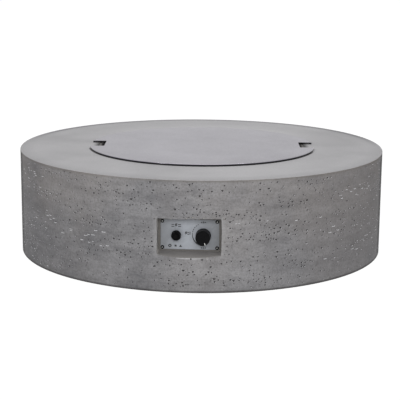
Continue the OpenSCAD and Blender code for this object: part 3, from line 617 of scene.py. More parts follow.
def rounded_rectangle(width, height, corner, per_corner=8, per_side=14):
    """Points of a rectangle with round corners, in mm."""
    centres = [(sx * (width / 2 - corner), sy * (height / 2 - corner))
               for sx, sy in ((1, 1), (-1, 1), (-1, -1), (1, -1))]
    corners = [arc(x, y, corner, 90 * k, 90 * k + 90, per_corner) for k, (x, y) in enumerate(centres)]
    outline = []
    for this, following in zip(corners, corners[1:] + corners[:1]):
        (x, y), (to_x, to_y) = this[-1], following[0]
        outline += this
        outline += [(x + (to_x - x) * j / per_side, y + (to_y - y) * j / per_side)
                    for j in range(1, per_side)]
    return outline


def drum_front(x):
    """How far the drum's face stands in front of the panel's face at a place x, in mm."""
    return math.sqrt((DRUM_R / MM) ** 2 - x ** 2) + PANEL_Y / MM


def pushed(near, across, distance):
    """Shift of an outline's point. The shares say how far it lies out this way and the other way."""
    share = 1 if abs(near) > min(abs(across), NEAR_WALL) else abs(near)
    return math.copysign(share, near) * distance


def recess_cutter(rng):
    """Drafted core of the recess with an uneven flared mouth."""
    waves = [(rng.randint(3, 11), rng.uniform(0, 6.28), rng.uniform(0.12, 0.4)) for _ in range(9)]
    base = rounded_rectangle(RECESS_W, RECESS_H, RECESS_CORNER)
    loops = []
    for share, flare, rough in MOUTH_STEPS:
        loop = []
        for k, (x, y) in enumerate(base):
            wave = rough * sum(w * math.sin(n * 2 * math.pi * k / len(base) + p + share * n)
                               for n, p, w in waves)
            nx, ny = x / (RECESS_W / 2), y / (RECESS_H / 2)
            px = x + pushed(nx, ny, SIDE_DRAFT * share + 0.4 * flare + wave * 0.6)
            py = y + pushed(ny, nx, RECESS_DRAFT * share + flare + wave * 0.8)
            if y < 0:
                worn = SILL_ENDS + (1 - SILL_ENDS) * math.cos(math.pi * x / RECESS_W)
                py -= SILL_WORN * share ** 2 * worn * abs(ny)
            loop.append(on_panel((px, py, (drum_front(px) + PANEL_T) * share - PANEL_T)))
        loops.append(loop)
    loops.append([(x, PANEL_Y - 2 * RECESS_DEPTH * MM, z) for x, _, z in loops[-1]])
    return stack(loops)


def prism(outline, low, high):
    """Points and faces of an outline in the panel's frame, between two distances out of it."""
    return stack([[on_panel((x, y, out)) for x, y in outline] for out in (low, high)])


block_back = -PANEL_T - RECESS_WALL
block_shape = rounded_rectangle(BLOCK_W, BLOCK_H, 6, per_corner=4, per_side=10)
block = solid("block", *prism(block_shape, block_back, BLOCK_OUT))
mid_wall = DRUM_R - WALL / 2
trim = solid("trim", *lathe([(0, 0), (mid_wall, 0), (mid_wall, DRUM_H), (0, DRUM_H)], 180))
cut(block, trim, "INTERSECT")
cut(casting, block, "UNION")
cut(casting, solid("recess", *recess_cutter(random.Random(RECESS_SEED))))
aperture_shape = rounded_rectangle(APERTURE_W, APERTURE_H, 5, per_corner=6, per_side=4)
aperture_shape = [(x, y + AXIS_UP) for x, y in aperture_shape]
cut(casting, solid("aperture", *prism(aperture_shape, block_back - THROUGH, THROUGH)))
print("drum with recess, faces:", len(casting.data.polygons))

# %% Cut the hose notch in the rear of the base
NOTCH_R = 30 * MM
NOTCH_H = 45 * MM
arch = [(NOTCH_R, -OVER), *arc(0, NOTCH_H - NOTCH_R, NOTCH_R, 0, 180, 18), (-NOTCH_R, -OVER)]
notch_loops = [[(x, y, z) for x, z in arch] for y in (DRUM_R - 2 * WALL, DRUM_R + OVER)]
cut(casting, solid("notch", *stack(notch_loops)))
crisp(casting, 32)
print("cast drum faces:", len(casting.data.polygons))

# %% [markdown]
# ## Cast concrete
# Glass-fibre concrete is a fine sand and cement paste. The top lay against the mould's polished face,
# so it is smooth and only slightly clouded, and it is painted paler than the side, partly for that face
# and partly as painted light from above. The side is darker and duller, with level bands and soft dark
# clouds where the paste dried unevenly, a warmer tone under the rim, and painted shade in its holes.
# The wall's depth behind its nominal radius tells the material where a hole is, so the painted shade
# and highlights follow the geometry. Each mark is a share of the surface and the colour that is laid over
# it there.

# %% Concrete material
SAND, MOTTLE, PIN = 5 * MM, 45 * MM, 8 * MM
# A ring of soot round the opening, under the lid, which also serves as painted shade under the lid's
# notches.
SOOT_AND_SHADE_OUT, SOOT_AND_SHADE_IN = 322 * MM, 306 * MM
RECESS_HALF_X, RECESS_HALF_Z, FRONT_Y, BEHIND_Y = 92 * MM, 55 * MM, -0.4, -0.3
SHARP = 1 * MM


def concrete_material():
    """Cast glass-fibre concrete, which gives a dull mineral grey with clouds, sand grain and air holes."""
    material, shader, place = new_material("cast_concrete_gfrc", Roughness=0.8, IOR=1.5)
    tree = material.node_tree
    x, y, z = axes(place)
    flat = add(tree, "CombineXYZ", {"X": x, "Y": y})
    radius = add(tree, "VectorMath", {0: flat}, operation="LENGTH").outputs["Value"]
    depth = combine("SUBTRACT", DRUM_R, radius)
    side = ramp(z, DRUM_H - 0.2 * MM, DRUM_H - 2.2 * MM, interpolation_type="SMOOTHSTEP")

    # The side has clouds, level bands and mottles, and painted shade away from the front, where the wall
    # turns from the light.
    tone = blend(noise(place, 5.5, 5, 0.6), noise(stretched(place, (3, 3, 27)), 1.0, 5, 0.65), 0.55)
    tone = blend(tone, noise(stretched(place, (1, 1, 2.4)), 1 / MOTTLE, 5, 0.65), 0.3)
    side_colour = palette(tone, (0.36, "6f6f72"), (0.63, "a3a2a4"), (0.46, "868587"), (0.53, "949395"))
    from_front = combine("ABSOLUTE", combine("ADD", x, 60 * MM))
    side_colour = tint(side_colour, "6e6d70", ramp(from_front, 0.15, 0.55, 0, 0.5))

    # The top has a duller border, soot at the opening that is also painted shade under the lid, painted
    # shade along the front of the lid's rim, a paler far half and a dark far rim.
    clouds = noise(place, 3.2, 5, 0.55)
    # The top is painted paler than the side, partly for its smoother face and partly as painted light from
    # above.
    top_colour = palette(clouds, (0.36, "a3a2a4"), (0.64, "b2b1b3"), (0.5, "acabad"))
    from_lid = add(tree, "VectorMath", {0: place, 1: LID_MIDDLE + Vector((0, 0, DRUM_H))},
                   operation="DISTANCE").outputs["Value"]
    from_rim = combine("ABSOLUTE", combine("SUBTRACT", from_lid, LID_R + 1.5 * MM))
    far_half = ramp(y, 0.04, 0.25, 0, 0.7)
    top_marks = (
        ("908f91", ramp(depth, 45 * MM, 3 * MM, 0, 0.4)),
        # Soot round the opening, which also serves as painted shade under the lid.
        ("161514", ramp(radius, SOOT_AND_SHADE_OUT, SOOT_AND_SHADE_IN)),
        # Painted shade along the front of the lid's rim.
        ("2a2826", times(ramp(from_rim, 4 * MM, 1.5 * MM), ramp(y, -0.07, -0.1, 0, 0.9))),
        ("bdbcbe", times(ramp(from_lid, LID_R + 130 * MM, LID_R + 30 * MM), far_half)),
        ("6c6b6f", times(ramp(depth, 26 * MM, 14 * MM), far_half)),
    )
    for mark, share in top_marks:
        top_colour = tint(top_colour, mark, share)

    # Sand grain shows on both, most of all on the side.
    colour = tint(top_colour, side_colour, side)
    grain = noise(place, 1 / SAND, 4, 0.7)
    sand = palette(grain, (0.3, "bdbdbd"), (0.72, "ffffff"), (0.5, "ebebeb"))
    sand_share = ramp(side, 0, 1, 0.25, 0.85)
    colour = tint(colour, sand, sand_share, blend_type="MULTIPLY")

    # The wall outside the recess block, and the faces that look up or down.
    off_middle = combine("ABSOLUTE", x)
    off_level = combine("ABSOLUTE", combine("SUBTRACT", z, PANEL_Z))
    above = ramp(off_level, RECESS_HALF_Z, RECESS_HALF_Z + SHARP)
    behind = ramp(y, FRONT_Y, BEHIND_Y)
    across = ramp(off_middle, RECESS_HALF_X, RECESS_HALF_X + SHARP)
    outside = combine("MAXIMUM", across, above, behind)
    on_wall = times(outside, side)
    inside = opposite(outside)
    facing = axes(add(tree, "NewGeometry").outputs["True Normal"])[2]
    level = combine("MAXIMUM", facing, 0)
    grazing = add(tree, "LayerWeight", {"Blend": 0.5}).outputs["Facing"]
    pin = ramp(add(tree, "TexVoronoi", {"Vector": place, "Scale": 1 / PIN}), 0.16, 0.09)
    pin = times(pin, on_wall)
    marks = (
        # Warmer patches, most of all under the rim.
        ("a0958b", times(ramp(z, 60 * MM, 290 * MM, 0.35), ramp(clouds, 0.42, 0.6, 0, 0.2), side)),
        # Painted highlight along the lips beside the recess.
        ("bbbaba", times(ramp(off_middle, 98 * MM, 86 * MM, 0, 0.22), ramp(off_middle, 80 * MM, 84 * MM),
                         opposite(above), opposite(behind))),
        # Painted shade inside the air holes.
        ("2b2a28", times(ramp(depth, 0.2 * MM, 1.2 * MM, 0, 0.75), ramp(depth, 12 * MM, 8 * MM), on_wall)),
        # Painted highlight on the lower lip of a scoop, where it faces up to the light.
        ("dadadd", times(ramp(facing, 0.12, 0.35, 0, 0.9), ramp(depth, 1.7 * MM, 1.2 * MM),
                         ramp(facing, 0.92, 0.8), on_wall)),
        # Inside the recess the walls are painted pale as painted light, and the sill, which faces up, is
        # painted darker as painted shade.
        (tint("cbc7c1", "777472", level), times(ramp(depth, 1 * MM, 3 * MM, 0, 0.75), side, inside)),
        # Painted shade in the corner at the back, behind the panel's edges.
        ("33302e", times(ramp(y, PANEL_Y - 0.4 * MM, PANEL_Y + 0.8 * MM), inside, opposite(level), 0.75)),
        # Painted shade along the foot, where it meets the floor, and dirt under the top edge.
        ("3c3a3a", ramp(z, 7 * MM, 3 * MM, 0, 0.8)),
        ("6d675f", times(ramp(z, DRUM_H - 9 * MM, DRUM_H - 3 * MM, 0, 0.4), side)),
        # Painted shade along the drum's outline, where the wall turns away from the view.
        ("2c2c2e", times(ramp(grazing, 0.84, 0.9, 0, 0.9), side)),
        # Pinholes too small to model, painted as dark dots of painted shade.
        ("4a4845", times(pin, 0.55)),
    )
    for mark, share in marks:
        colour = tint(colour, mark, share)
    height = times(combine("SUBTRACT", grain, pin), sand_share)
    link_shader(shader, Base_Color=colour, Normal=bump(height, 0.8 * MM, 0.6))
    return material


finish_piece(casting, "drum", "cast_concrete", concrete_material(), "concrete_body")

# %% [markdown]
# ## Sheet metals and fittings
# Most metal here is stainless sheet, plated steel or brass. One function makes such a metal from a
# light and a dark tone, a roughness, and a grain. The grain is noise that is stretched along the
# brushing, or even in all directions for a cast, forged or plated face. Real brush lines are 0.1 to
# 0.3 mm apart, too fine for the picture, so they are drawn 1 to 3 mm wide.

# %% Metal material
def metal_material(name, dark, light, roughness, grain, stretch=(1, 1, 1)):
    """A metal whose tone, roughness and bump all follow one grain, sized in mm."""
    material, shader, place = new_material(name, Metallic=1.0)
    lines = noise(stretched(place, [s / (grain * MM) for s in stretch]), 1.0, 4, 0.6)
    tone = blend(lines, noise(place, 14, 3), 0.35)
    link_shader(shader, Base_Color=palette(tone, (0.36, dark), (0.64, light)),
                Roughness=ramp(tone, 0.3, 0.7, roughness + 0.06, roughness - 0.06),
                Normal=bump(lines, 0.02 * MM, 0.5))
    return material


def dress(slot, material):
    """Gives a finish to every CAD node that the record lists under its slot, and hands it back."""
    for part in frame["record"]["subparts"]:
        if part["material_slot"] == slot:
            for place in nodes[part["node"]].material_slots:
                place.material = material
    return material


METALS = {
    # Stainless sheet rolled with the skin of the mill: soft, slightly cloudy reflections.
    "plain_stainless": ("mill_finish_stainless", "8f8f93", "b0b0b4", 0.42, 3, (1, 0.1, 1)),
    # Deep-drawn bowl: die marks run round it, and heat has left it slightly straw-coloured.
    "pan_stainless": ("drawn_stainless", "85827d", "aaa6a0", 0.4, 6, (1, 1, 0.4)),
    # Zinc plating with a yellowish passivation on screws, nuts and the valve's stem.
    "plated_steel": ("zinc_plated_steel", "9a9484", "c9c4b4", 0.3, 1.5),
    # Hot-dip galvanising leaves dull grey crystals on pipe fittings.
    "galvanised_steel": ("hot_dip_galvanised_steel", "787b7d", "a4a7a9", 0.5, 7),
    # Turned brass: warm and bright, with faint tool marks across the axis.
    "brass": ("turned_brass", "b08f4e", "d8bb77", 0.28, 1.2, (1, 3, 3)),
    # Heat-resistant wire of the electrode and the probe: dark oxide over bright drawn steel.
    "electrode_steel": ("heat_resistant_wire", "5a5550", "918a83", 0.38, 2),
    # Spring wire keeps a grey drawn skin.
    "spring_steel": ("drawn_spring_wire", "7c7c7e", "a6a6a9", 0.35, 1.5),
    # Tin plating over brass terminals: pale and soft.
    "tinned_brass": ("tin_plated_brass", "b3b1a8", "d6d4cb", 0.33, 2),
}
for slot, metal in METALS.items():
    dress(slot, metal_material(*metal))
# Copper capillary tube of the thermocouple, tarnished brown in places.
copper = metal_material("drawn_copper_tube", "8a5236", "c98a62", 0.34, 4)

# %% [markdown]
# The burner ring gets hot along its ports. Stainless that has been hot shows temper colours, which
# run from straw through brown to a dull blue-grey. The colours follow the height on the tube, because
# the flames stand along its top.

# %% Burner stainless with temper colours
def burner_material():
    """Stainless tube with temper colours along the line of its ports."""
    material, shader, place = new_material("heat_tinted_stainless_tube", Metallic=1.0, Roughness=0.42)
    mottle = noise(place, 40, 4)
    heat = combine("ADD", ramp(axes(place)[2], 222 * MM, 242 * MM, -0.25, 0.25), mottle)
    colour = palette(heat, (0.3, "a3a19d"), (0.8, "65696f"), (0.48, "a08d6f"), (0.62, "7d6a58"))
    link_shader(shader, Base_Color=colour, Normal=bump(mottle, 0.05 * MM, 0.5))
    return material


dress("burner_stainless", burner_material())

# %% [markdown]
# ## Plastics, rubber and ceramic
# Moulded plastics have a fine spark-eroded texture and small changes of gloss where hands touch them.
# One function makes them from two tones, a roughness and a grain.

# %% Moulded material
def moulded_material(name, dark, light, roughness, grain, texture_depth=0.03, tinted=None, **constants):
    """A moulded or coated face with an even grain, sized in mm. A function may tint its colour."""
    material, shader, place = new_material(name, **constants)
    texture = noise(place, 1 / (grain * MM), 3, 0.6)
    handling = noise(place, 60, 3)
    colour = palette(blend(texture, handling, 0.5), (0.35, dark), (0.65, light))
    if tinted:
        colour = tinted(colour, place)
    link_shader(shader, Base_Color=colour,
                Roughness=ramp(handling, 0.3, 0.7, roughness + 0.08, roughness - 0.08),
                Normal=bump(texture, texture_depth * MM, 0.5))
    return material


# Phenolic knob plastic: nearly black, with a dull sheen from its eroded mould.
black_plastic = dress("black_plastic", moulded_material(
    "moulded_phenolic", "060607", "0e0e10", 0.5, 0.9, IOR=1.5, Specular_IOR_Level=0.08))
# The knob's grip ribs are the same phenolic, painted grey as painted light on the knob's lit side.
rib_plastic_painted_light = moulded_material(
    "phenolic_ribs_painted_light", "242426", "363639", 0.5, 0.9, IOR=1.5, Specular_IOR_Level=0.25)
# Rubbery button: darker and duller than the cap round it.
button_rubber = moulded_material(
    "moulded_silicone_rubber", "060606", "0e0e0f", 0.6, 1.2, IOR=1.41, Specular_IOR_Level=0.1)
# White enamel pressed into the knob's mark.
white_paint = moulded_material("filled_white_enamel", "d9d9d6", "efefec", 0.4, 0.8, IOR=1.5)
# Glazed alumina tube: clean white with a soft gloss.
dress("white_ceramic", moulded_material("glazed_alumina", "d5d2c8", "ece9df", 0.3, 2, IOR=1.6))
# Shrink-wrapped label film of the battery, plain blue.
dress("battery_sleeve", moulded_material("battery_film", "22376a", "2e4a86", 0.25, 3, IOR=1.5))
# High-temperature silicone sleeve: a dull brick red.
silicone = dress("silicone_sleeve", moulded_material(
    "extruded_silicone", "7c2a20", "9a3c30", 0.6, 1.0, IOR=1.41))
# Epoxy coat on the corrugated gas line: an even yellow with a wet gloss.
line_coat = moulded_material("epoxy_coated_line", "c2a024", "dcbb3c", 0.35, 2, IOR=1.5)

# %% [markdown]
# ## The lid
# The lid is 2 mm stainless sheet with its rim folded down and two hand notches. It is turned on a
# lathe here, with the fold's outer radius in the section, and the notches are cut out of it. A linen
# finish is rolled into the sheet: short crossing lines that scatter the light evenly.

# %% Shape of the lid
SHEET = 2 * MM
LID_FOOT = lid_low[2]
NOTCH_W = 92
NOTCH_IN_R = 288
NOTCH_CORNER = 5
lid_section = [(0, LID_TOP), (LID_R * 0.4, LID_TOP), (LID_R * 0.8, LID_TOP)]
lid_section += arc(LID_R - SHEET, LID_TOP - SHEET, SHEET, 90, 0, 8)
lid_section += arc(LID_R - SHEET / 2, LID_FOOT + SHEET / 2, SHEET / 2, 0, -180, 6)
lid_section += [(LID_R - SHEET, LID_TOP - SHEET), (LID_R * 0.6, LID_TOP - SHEET), (0, LID_TOP - SHEET)]
lid = solid("brushed_lid", *lathe(lid_section, 240))
notch_shape = rounded_rectangle(2 * (LID_R / MM - NOTCH_IN_R), NOTCH_W, NOTCH_CORNER, per_side=2)
for half_turn in (0, 180):
    bite = solid("bite", *stack([[(x * MM + LID_R, y * MM, z) for x, y in notch_shape]
                                 for z in (LID_FOOT - OVER, LID_TOP + OVER)]))
    bite.data.transform(spin(half_turn))
    cut(lid, bite)
lid.data.transform(Matrix.Translation(LID_MIDDLE) @ Matrix.Rotation(LID_TURN, 4, "Z"))
crisp(lid, 40)

# %% Linen finish of the lid
def linen_material():
    """Linen-rolled stainless, which gives the lid its even pale sheen with short crossing lines."""
    material, shader, place = new_material("linen_rolled_stainless", Metallic=1.0)
    square = add(tree_of(place), "Mapping", {"Vector": place, "Rotation": (0, 0, -LID_TURN)})
    warp, weft = (noise(stretched(square, scale), 1.0, 3, 0.7) for scale in ((70, 900, 1), (900, 70, 1)))
    lines = blend(warp, weft, 0.5)
    tone = blend(lines, noise(place, 6, 4, 0.6), 0.3)
    height = axes(place)[2]
    # The folded rim's colour is darkened as a painted dark reflection and painted shade. Its bend is
    # polished by the press.
    rim = ramp(height, LID_TOP - 1.5 * MM, LID_TOP - 2.0 * MM)
    colour = tint(palette(tone, (0.38, "8a888e"), (0.62, "9b99a0")), "3e3e42", rim)
    bend = ramp(height, LID_TOP - 0.3 * MM, LID_TOP - 0.7 * MM)
    gloss = blend(ramp(tone, 0.35, 0.65, 0.44, 0.34), 0.16, bend)
    rolled = bump(lines, 0.06 * MM, 0.6)
    wavy = bump(noise(place, 3.5, 1), 0.8 * MM, 0.3, Normal=rolled)
    link_shader(shader, Base_Color=colour, Roughness=gloss, Normal=wavy)
    return material


finish_piece(lid, "lid", "brushed_stainless", linen_material(), "lid")

# %% [markdown]
# ## Geometry Nodes for what repeats
# Screws, the knob's grip ribs and the corrugations of the gas line all follow a rule, so they come
# from small node trees with named sizes. A tree ends by making its copies real and setting their
# finish. The result is then turned to a plain mesh, because an export drops copies that are not real.

# %% Start and finish a tree
def start_tree(name, **sizes):
    """A Geometry Nodes tree with a named input for each size."""
    tree = bpy.data.node_groups.new(name, "GeometryNodeTree")
    tree.interface.new_socket("Geometry", in_out="INPUT", socket_type="NodeSocketGeometry")
    for label, value in sizes.items():
        kind = "NodeSocketInt" if isinstance(value, int) else "NodeSocketFloat"
        tree.interface.new_socket(label, in_out="INPUT", socket_type=kind).default_value = value
    tree.interface.new_socket("Geometry", in_out="OUTPUT", socket_type="NodeSocketGeometry")
    return tree, tree.nodes.new("NodeGroupInput").outputs


def end_tree(tree, made, material):
    """Closes a tree with real copies and their finish."""
    real = add(tree, "RealizeInstances", {"Geometry": made})
    dressed = add(tree, "SetMaterial", {"Geometry": real, "Material": material})
    add(tree, "NodeGroupOutput", {0: dressed})


def grow(name, tree, points=(), edges=(), **sizes):
    """Runs a tree on a new object and keeps the result as a plain mesh."""
    piece = make_object(name, points, edges=edges)
    modifier = piece.modifiers.new("tree", "NODES")
    modifier.node_group = tree
    for item in tree.interface.items_tree:
        if item.in_out == "INPUT" and item.name in sizes:
            modifier[item.identifier] = sizes[item.name]
    apply_modifiers(piece)
    return piece


# %% [markdown]
# ## The control panel
# The panel is a 1.5 mm plate, painted a pale bluish grey and printed in dark ink. It has holes for the
# valve's neck, the igniter and four screws. Its edges are bevelled a little, because a real sheared
# and painted edge is never sharp and catches a thin line of light.

# %% Panel plate
PANEL_W, PANEL_H, PANEL_CORNER = 153, 80, 3
NECK_HOLE_R, IGNITER_HOLE_R, SCREW_HOLE_R = 7.0, 11.1, 2.4
SCREW_X, SCREW_Y = 71.5, 35
panel_shape = rounded_rectangle(PANEL_W, PANEL_H, PANEL_CORNER, per_side=4)
panel = solid("painted_panel", *prism(panel_shape, -PANEL_T, 0))
drills = [(KNOB_X, AXIS_UP, NECK_HOLE_R), (IGNITER_X, AXIS_UP, IGNITER_HOLE_R)]
drills += [(sx * SCREW_X, sy * SCREW_Y, SCREW_HOLE_R) for sx in (-1, 1) for sy in (-1, 1)]
for x, y, radius in drills:
    cut(panel, solid("drill", *prism(arc(x, y, radius, 0, 350, 35), -PANEL_T - THROUGH, THROUGH)))
bevel = panel.modifiers.new("edge", "BEVEL")
bevel.width = 0.3 * MM
bevel.segments = 2
bevel.limit_method = "ANGLE"
apply_modifiers(panel)
crisp(panel, 35)


def painted_side_shade(paint, place):
    """Darkens a colour towards the panel's sides, as painted shade from the recess's walls."""
    from_middle = combine("ABSOLUTE", combine("ADD", axes(place)[0], 4 * MM))
    return tint(paint, "797b7e", ramp(from_middle, 8 * MM, 76 * MM, 0, 0.85))


# Powder-coated aluminium plate: an even satin with a very fine orange peel, and painted shade towards its
# sides.
panel_paint = dress("panel_finish", moulded_material(
    "satin_painted_plate", "9da1a8", "a9adb4", 0.38, 2.5, 0.05, painted_side_shade, IOR=1.5))
finish_piece(panel, "drum", "panel_finish", panel_paint, "control_panel")

# %% [markdown]
# The print shows what the knob does: a dial from 0 by 1 to 2, an arc that thickens as the gas opens,
# a plain spark over the igniter, and three plain marks. Each print is a thin plate of ink, 0.06 mm
# high, so that it lies on the paint without flicker.

# %% Panel print
INK = 0.06
INK_FOOT = -0.02
DIAL_TOP, DIAL_BOTTOM = AXIS_UP + 35, AXIS_UP - 33.4
SPARK_UP = 23.6
MARK_UP = 3
RING_CENTRE = (-52, -30.8)
BAR = 2.2
SPARK_SHAPE = ((-1.8, 5), (3.2, 5), (0.9, 1.3), (4.0, 1.3), (-3.2, -5), (-0.9, -0.9), (-4.0, -0.9))


def band(radii, start, end, widths, centre=(KNOB_X, AXIS_UP), steps=24):
    """Outline of an arc band, with angles counted anticlockwise from 12 o'clock."""
    inner, outer = [], []
    for k in range(steps + 1):
        share = k / steps
        a = math.radians(90 + start + (end - start) * share)
        radius = radii[0] + (radii[1] - radii[0]) * share
        half = (widths[0] + (widths[1] - widths[0]) * share) / 2
        for edge, distance in ((inner, radius - half), (outer, radius + half)):
            edge.append((centre[0] + distance * math.cos(a), centre[1] + distance * math.sin(a)))
    return inner + outer[::-1]


def bar(x, y, length, width=BAR):
    """Outline of a level bar that starts at x, with its middle at y."""
    low, high = y - width / 2, y + width / 2
    return [(x, high), (x, low), (x + length, low), (x + length, high)]


def spark(x, y, size):
    """Outline of a plain lightning mark."""
    return [(x + px * size, y + py * size) for px, py in SPARK_SHAPE]


# The arc from 0 to 2, in five dashes and two bands that widen.
outlines = [band((33 - 0.05 * a, 32.6 - 0.05 * a), a, a + 7, (1.9, 1.9), steps=3)
            for a in range(22, 70, 11)]
outlines += [band((29.4, 28), 76, 105, (0.9, 2.6)), band((28, 27), 105, 186, (2.6, 4.6))]
# The sparks, and the bars beside them and beside the 0 and the 2.
outlines += [spark(IGNITER_X, SPARK_UP, 1.1), spark(KNOB_X - 45, MARK_UP, 0.95)]
outlines += [bar(IGNITER_X + x, SPARK_UP + y, 7.8) for x in (-12.4, 4.6) for y in (2.3, -2.6)]
outlines += [bar(KNOB_X - 42, MARK_UP + y, 4.4) for y in (2.4, -2.4)]
outlines += [bar(KNOB_X + x, y, 3.6, 3.0) for x in (-6.6, 3.0) for y in (DIAL_TOP, DIAL_BOTTOM)]
# A ring, a square and a triangle in the lower left corner.
outlines += [band((3.1, 3.1), a, a + 90, (2.7, 2.7), RING_CENTRE, 8) for a in (0, 90, 180, 270)]
outlines += [bar(-39.8, -30.8, 5.4, 5.2), [(-27.8, -34.0), (-20.2, -34.0), (-24, -27.2)]]
ink_points, ink_faces = [], []
for outline in outlines:
    points, faces = prism(outline, INK_FOOT, INK)
    ink_faces += [[i + len(ink_points) for i in face] for face in faces]
    ink_points += points
ink = solid("panel_print", ink_points, ink_faces)


def numeral(text, x, y, height):
    """A printed number as a thin plate on the panel."""
    data = bpy.data.curves.new("numeral", "FONT")
    data.body = text
    data.size = height * MM
    data.align_x = "CENTER"
    data.align_y = "CENTER"
    data.extrude = INK * MM / 2
    data.resolution_u = 4
    data.offset = 0.5 * MM
    letter = new_object("numeral", data)
    piece = new_object("numeral_" + text, final_mesh(letter))
    bpy.data.objects.remove(letter)
    to_panel(piece, x, y, INK / 2)
    outward(piece)
    return piece


numerals = [numeral("0", KNOB_X, DIAL_TOP, 6.4), numeral("1", KNOB_X - 35, MARK_UP, 11),
            numeral("2", KNOB_X, DIAL_BOTTOM, 6.4)]
# Screen-printed ink: dark grey, slightly glossier than the paint, never quite black.
ink_material = moulded_material("screen_print_ink", "1f2022", "303134", 0.34, 1.5, 0.01, IOR=1.5)
for piece in (ink, *numerals):
    finish_piece(piece, "drum", "panel_finish", ink_material)

# %% [markdown]
# ## Panel screws
# Four pan head screws with a cross recess hold the panel. One screw is turned and its recess cut, and
# a tree puts it on the four corners of a grid. Each copy is turned by its own angle, because nobody
# lines up the recesses by hand.

# %% Screw finish
def screw_material():
    """Black zinc on steel: dark heads with a painted highlight on their crown, where it faces the front."""
    material, shader, place = new_material("black_zinc_steel_painted_crown", Metallic=1.0, Roughness=0.24)
    facing = axes(add(tree_of(place), "NewGeometry").outputs["Normal"])[1]
    # The crown's bright colour is a painted highlight.
    bright = palette(noise(place, 1 / (1.5 * MM), 3), (0.35, "8c8c8a"), (0.65, "b8b8b5"))
    link_shader(shader, Base_Color=tint("141415", bright, ramp(facing, -0.975, -0.998)))
    return material


# %% Screws by Geometry Nodes
HEAD_R, HEAD_H = 4.9, 2.6
SHANK_R, SHANK_LENGTH = 2, 12
DOME = ((0, 1), (0.35, 0.985), (0.62, 0.88), (0.84, 0.66), (0.96, 0.36), (1, 0.12), (0.98, 0))
BLADE = ((2.5, 0.55), (-2.5, 0.55), (-2.5, -0.55), (2.5, -0.55))
BLADE_LOOPS = ((1.1, 0.55), (3.0, 1.1))


def screw_prototype():
    """One pan head screw that points along Z, with its head's foot at zero."""
    section = [(HEAD_R * r, HEAD_H * h) for r, h in DOME]
    section += [(SHANK_R, 0), (SHANK_R, -SHANK_LENGTH), (0, -SHANK_LENGTH)]
    screw = turned("screw", section, 28)
    for quarter_turn in (0, 90):
        blade = solid("blade", *stack([[(x * swell * MM, y * swell * MM, z * MM) for x, y in BLADE]
                                       for z, swell in BLADE_LOOPS]))
        blade.data.transform(spin(quarter_turn))
        cut(screw, blade)
    crisp(screw, 35)
    return screw


screw = screw_prototype()
tree, sizes = start_tree("panel_screws_tree", Spacing_X=0.1, Spacing_Y=0.1, Seed=1)
corners = add(tree, "MeshGrid", {"Size X": sizes["Spacing_X"], "Size Y": sizes["Spacing_Y"],
                                 "Vertices X": 2, "Vertices Y": 2})
shape = add(tree, "ObjectInfo", {"Object": screw}).outputs["Geometry"]
angle = add(tree, "FunctionNodeRandomValue", {2: 0.0, 3: 3.1, "Seed": sizes["Seed"]},
            data_type="FLOAT").outputs[1]
copies = add(tree, "InstanceOnPoints", {"Points": corners.outputs["Mesh"], "Instance": shape,
                                        "Rotation": add(tree, "CombineXYZ", {"Z": angle})})
smooth = add(tree, "SetShadeSmooth", {"Geometry": copies, "Shade Smooth": True})
end_tree(tree, smooth, screw_material())
screws = grow("panel_screws_set", tree, Spacing_X=2 * SCREW_X * MM, Spacing_Y=2 * SCREW_Y * MM, Seed=3)
bpy.data.objects.remove(screw)
to_panel(screws, 0, 0)
crisp(screws, 35)
finish_piece(screws, "drum", "black_plated_steel", None, "panel_screws")

# %% [markdown]
# ## The gas knob
# The knob is a hollow phenolic moulding that tapers slightly towards its face. Fine grip ribs run up
# its side, and its face is dished by half a millimetre inside a thin rim. The body is turned here, and
# a tree stands the ribs round it. Its sizes are in millimetres, with Z pointing out of the panel.

# %% Knob body
KNOB_BASE_R, KNOB_FACE_R = 20, 19.5
KNOB_FOOT, KNOB_HUB, KNOB_OUT = 4, 7.3, 34
KNOB_BORE_R, KNOB_HUB_R, KNOB_HOLLOW_R = 4.05, 7, 14
FACE_ROUND = 1.4
RIB = 0.45
knob_section = [(0, KNOB_OUT - 0.5), (13.6, KNOB_OUT - 0.5), (14.4, KNOB_OUT - 0.1), (15.4, KNOB_OUT)]
knob_section += arc(KNOB_FACE_R - RIB - FACE_ROUND, KNOB_OUT - FACE_ROUND, FACE_ROUND, 90, 0, 6)
knob_section += [(KNOB_BASE_R - RIB - 0.3, KNOB_FOOT + 5), (KNOB_BASE_R - RIB, KNOB_FOOT + 4.6),
                 (KNOB_BASE_R - 0.1, KNOB_FOOT + 4.2), (KNOB_BASE_R, KNOB_FOOT + 3.6),
                 (KNOB_BASE_R, KNOB_FOOT + 0.5), (KNOB_BASE_R - 0.5, KNOB_FOOT),
                 (KNOB_HOLLOW_R, KNOB_FOOT), (KNOB_HOLLOW_R, KNOB_OUT - 9), (KNOB_HUB_R, KNOB_OUT - 9),
                 (KNOB_HUB_R, KNOB_HUB), (KNOB_BORE_R, KNOB_HUB), (KNOB_BORE_R, KNOB_OUT - 8),
                 (0, KNOB_OUT - 8)]
knob = turned("gas_knob_body", knob_section, 96)
to_panel(knob, KNOB_X, AXIS_UP)
finish_piece(knob, "gas_knob", "black_plastic", black_plastic, "knob")

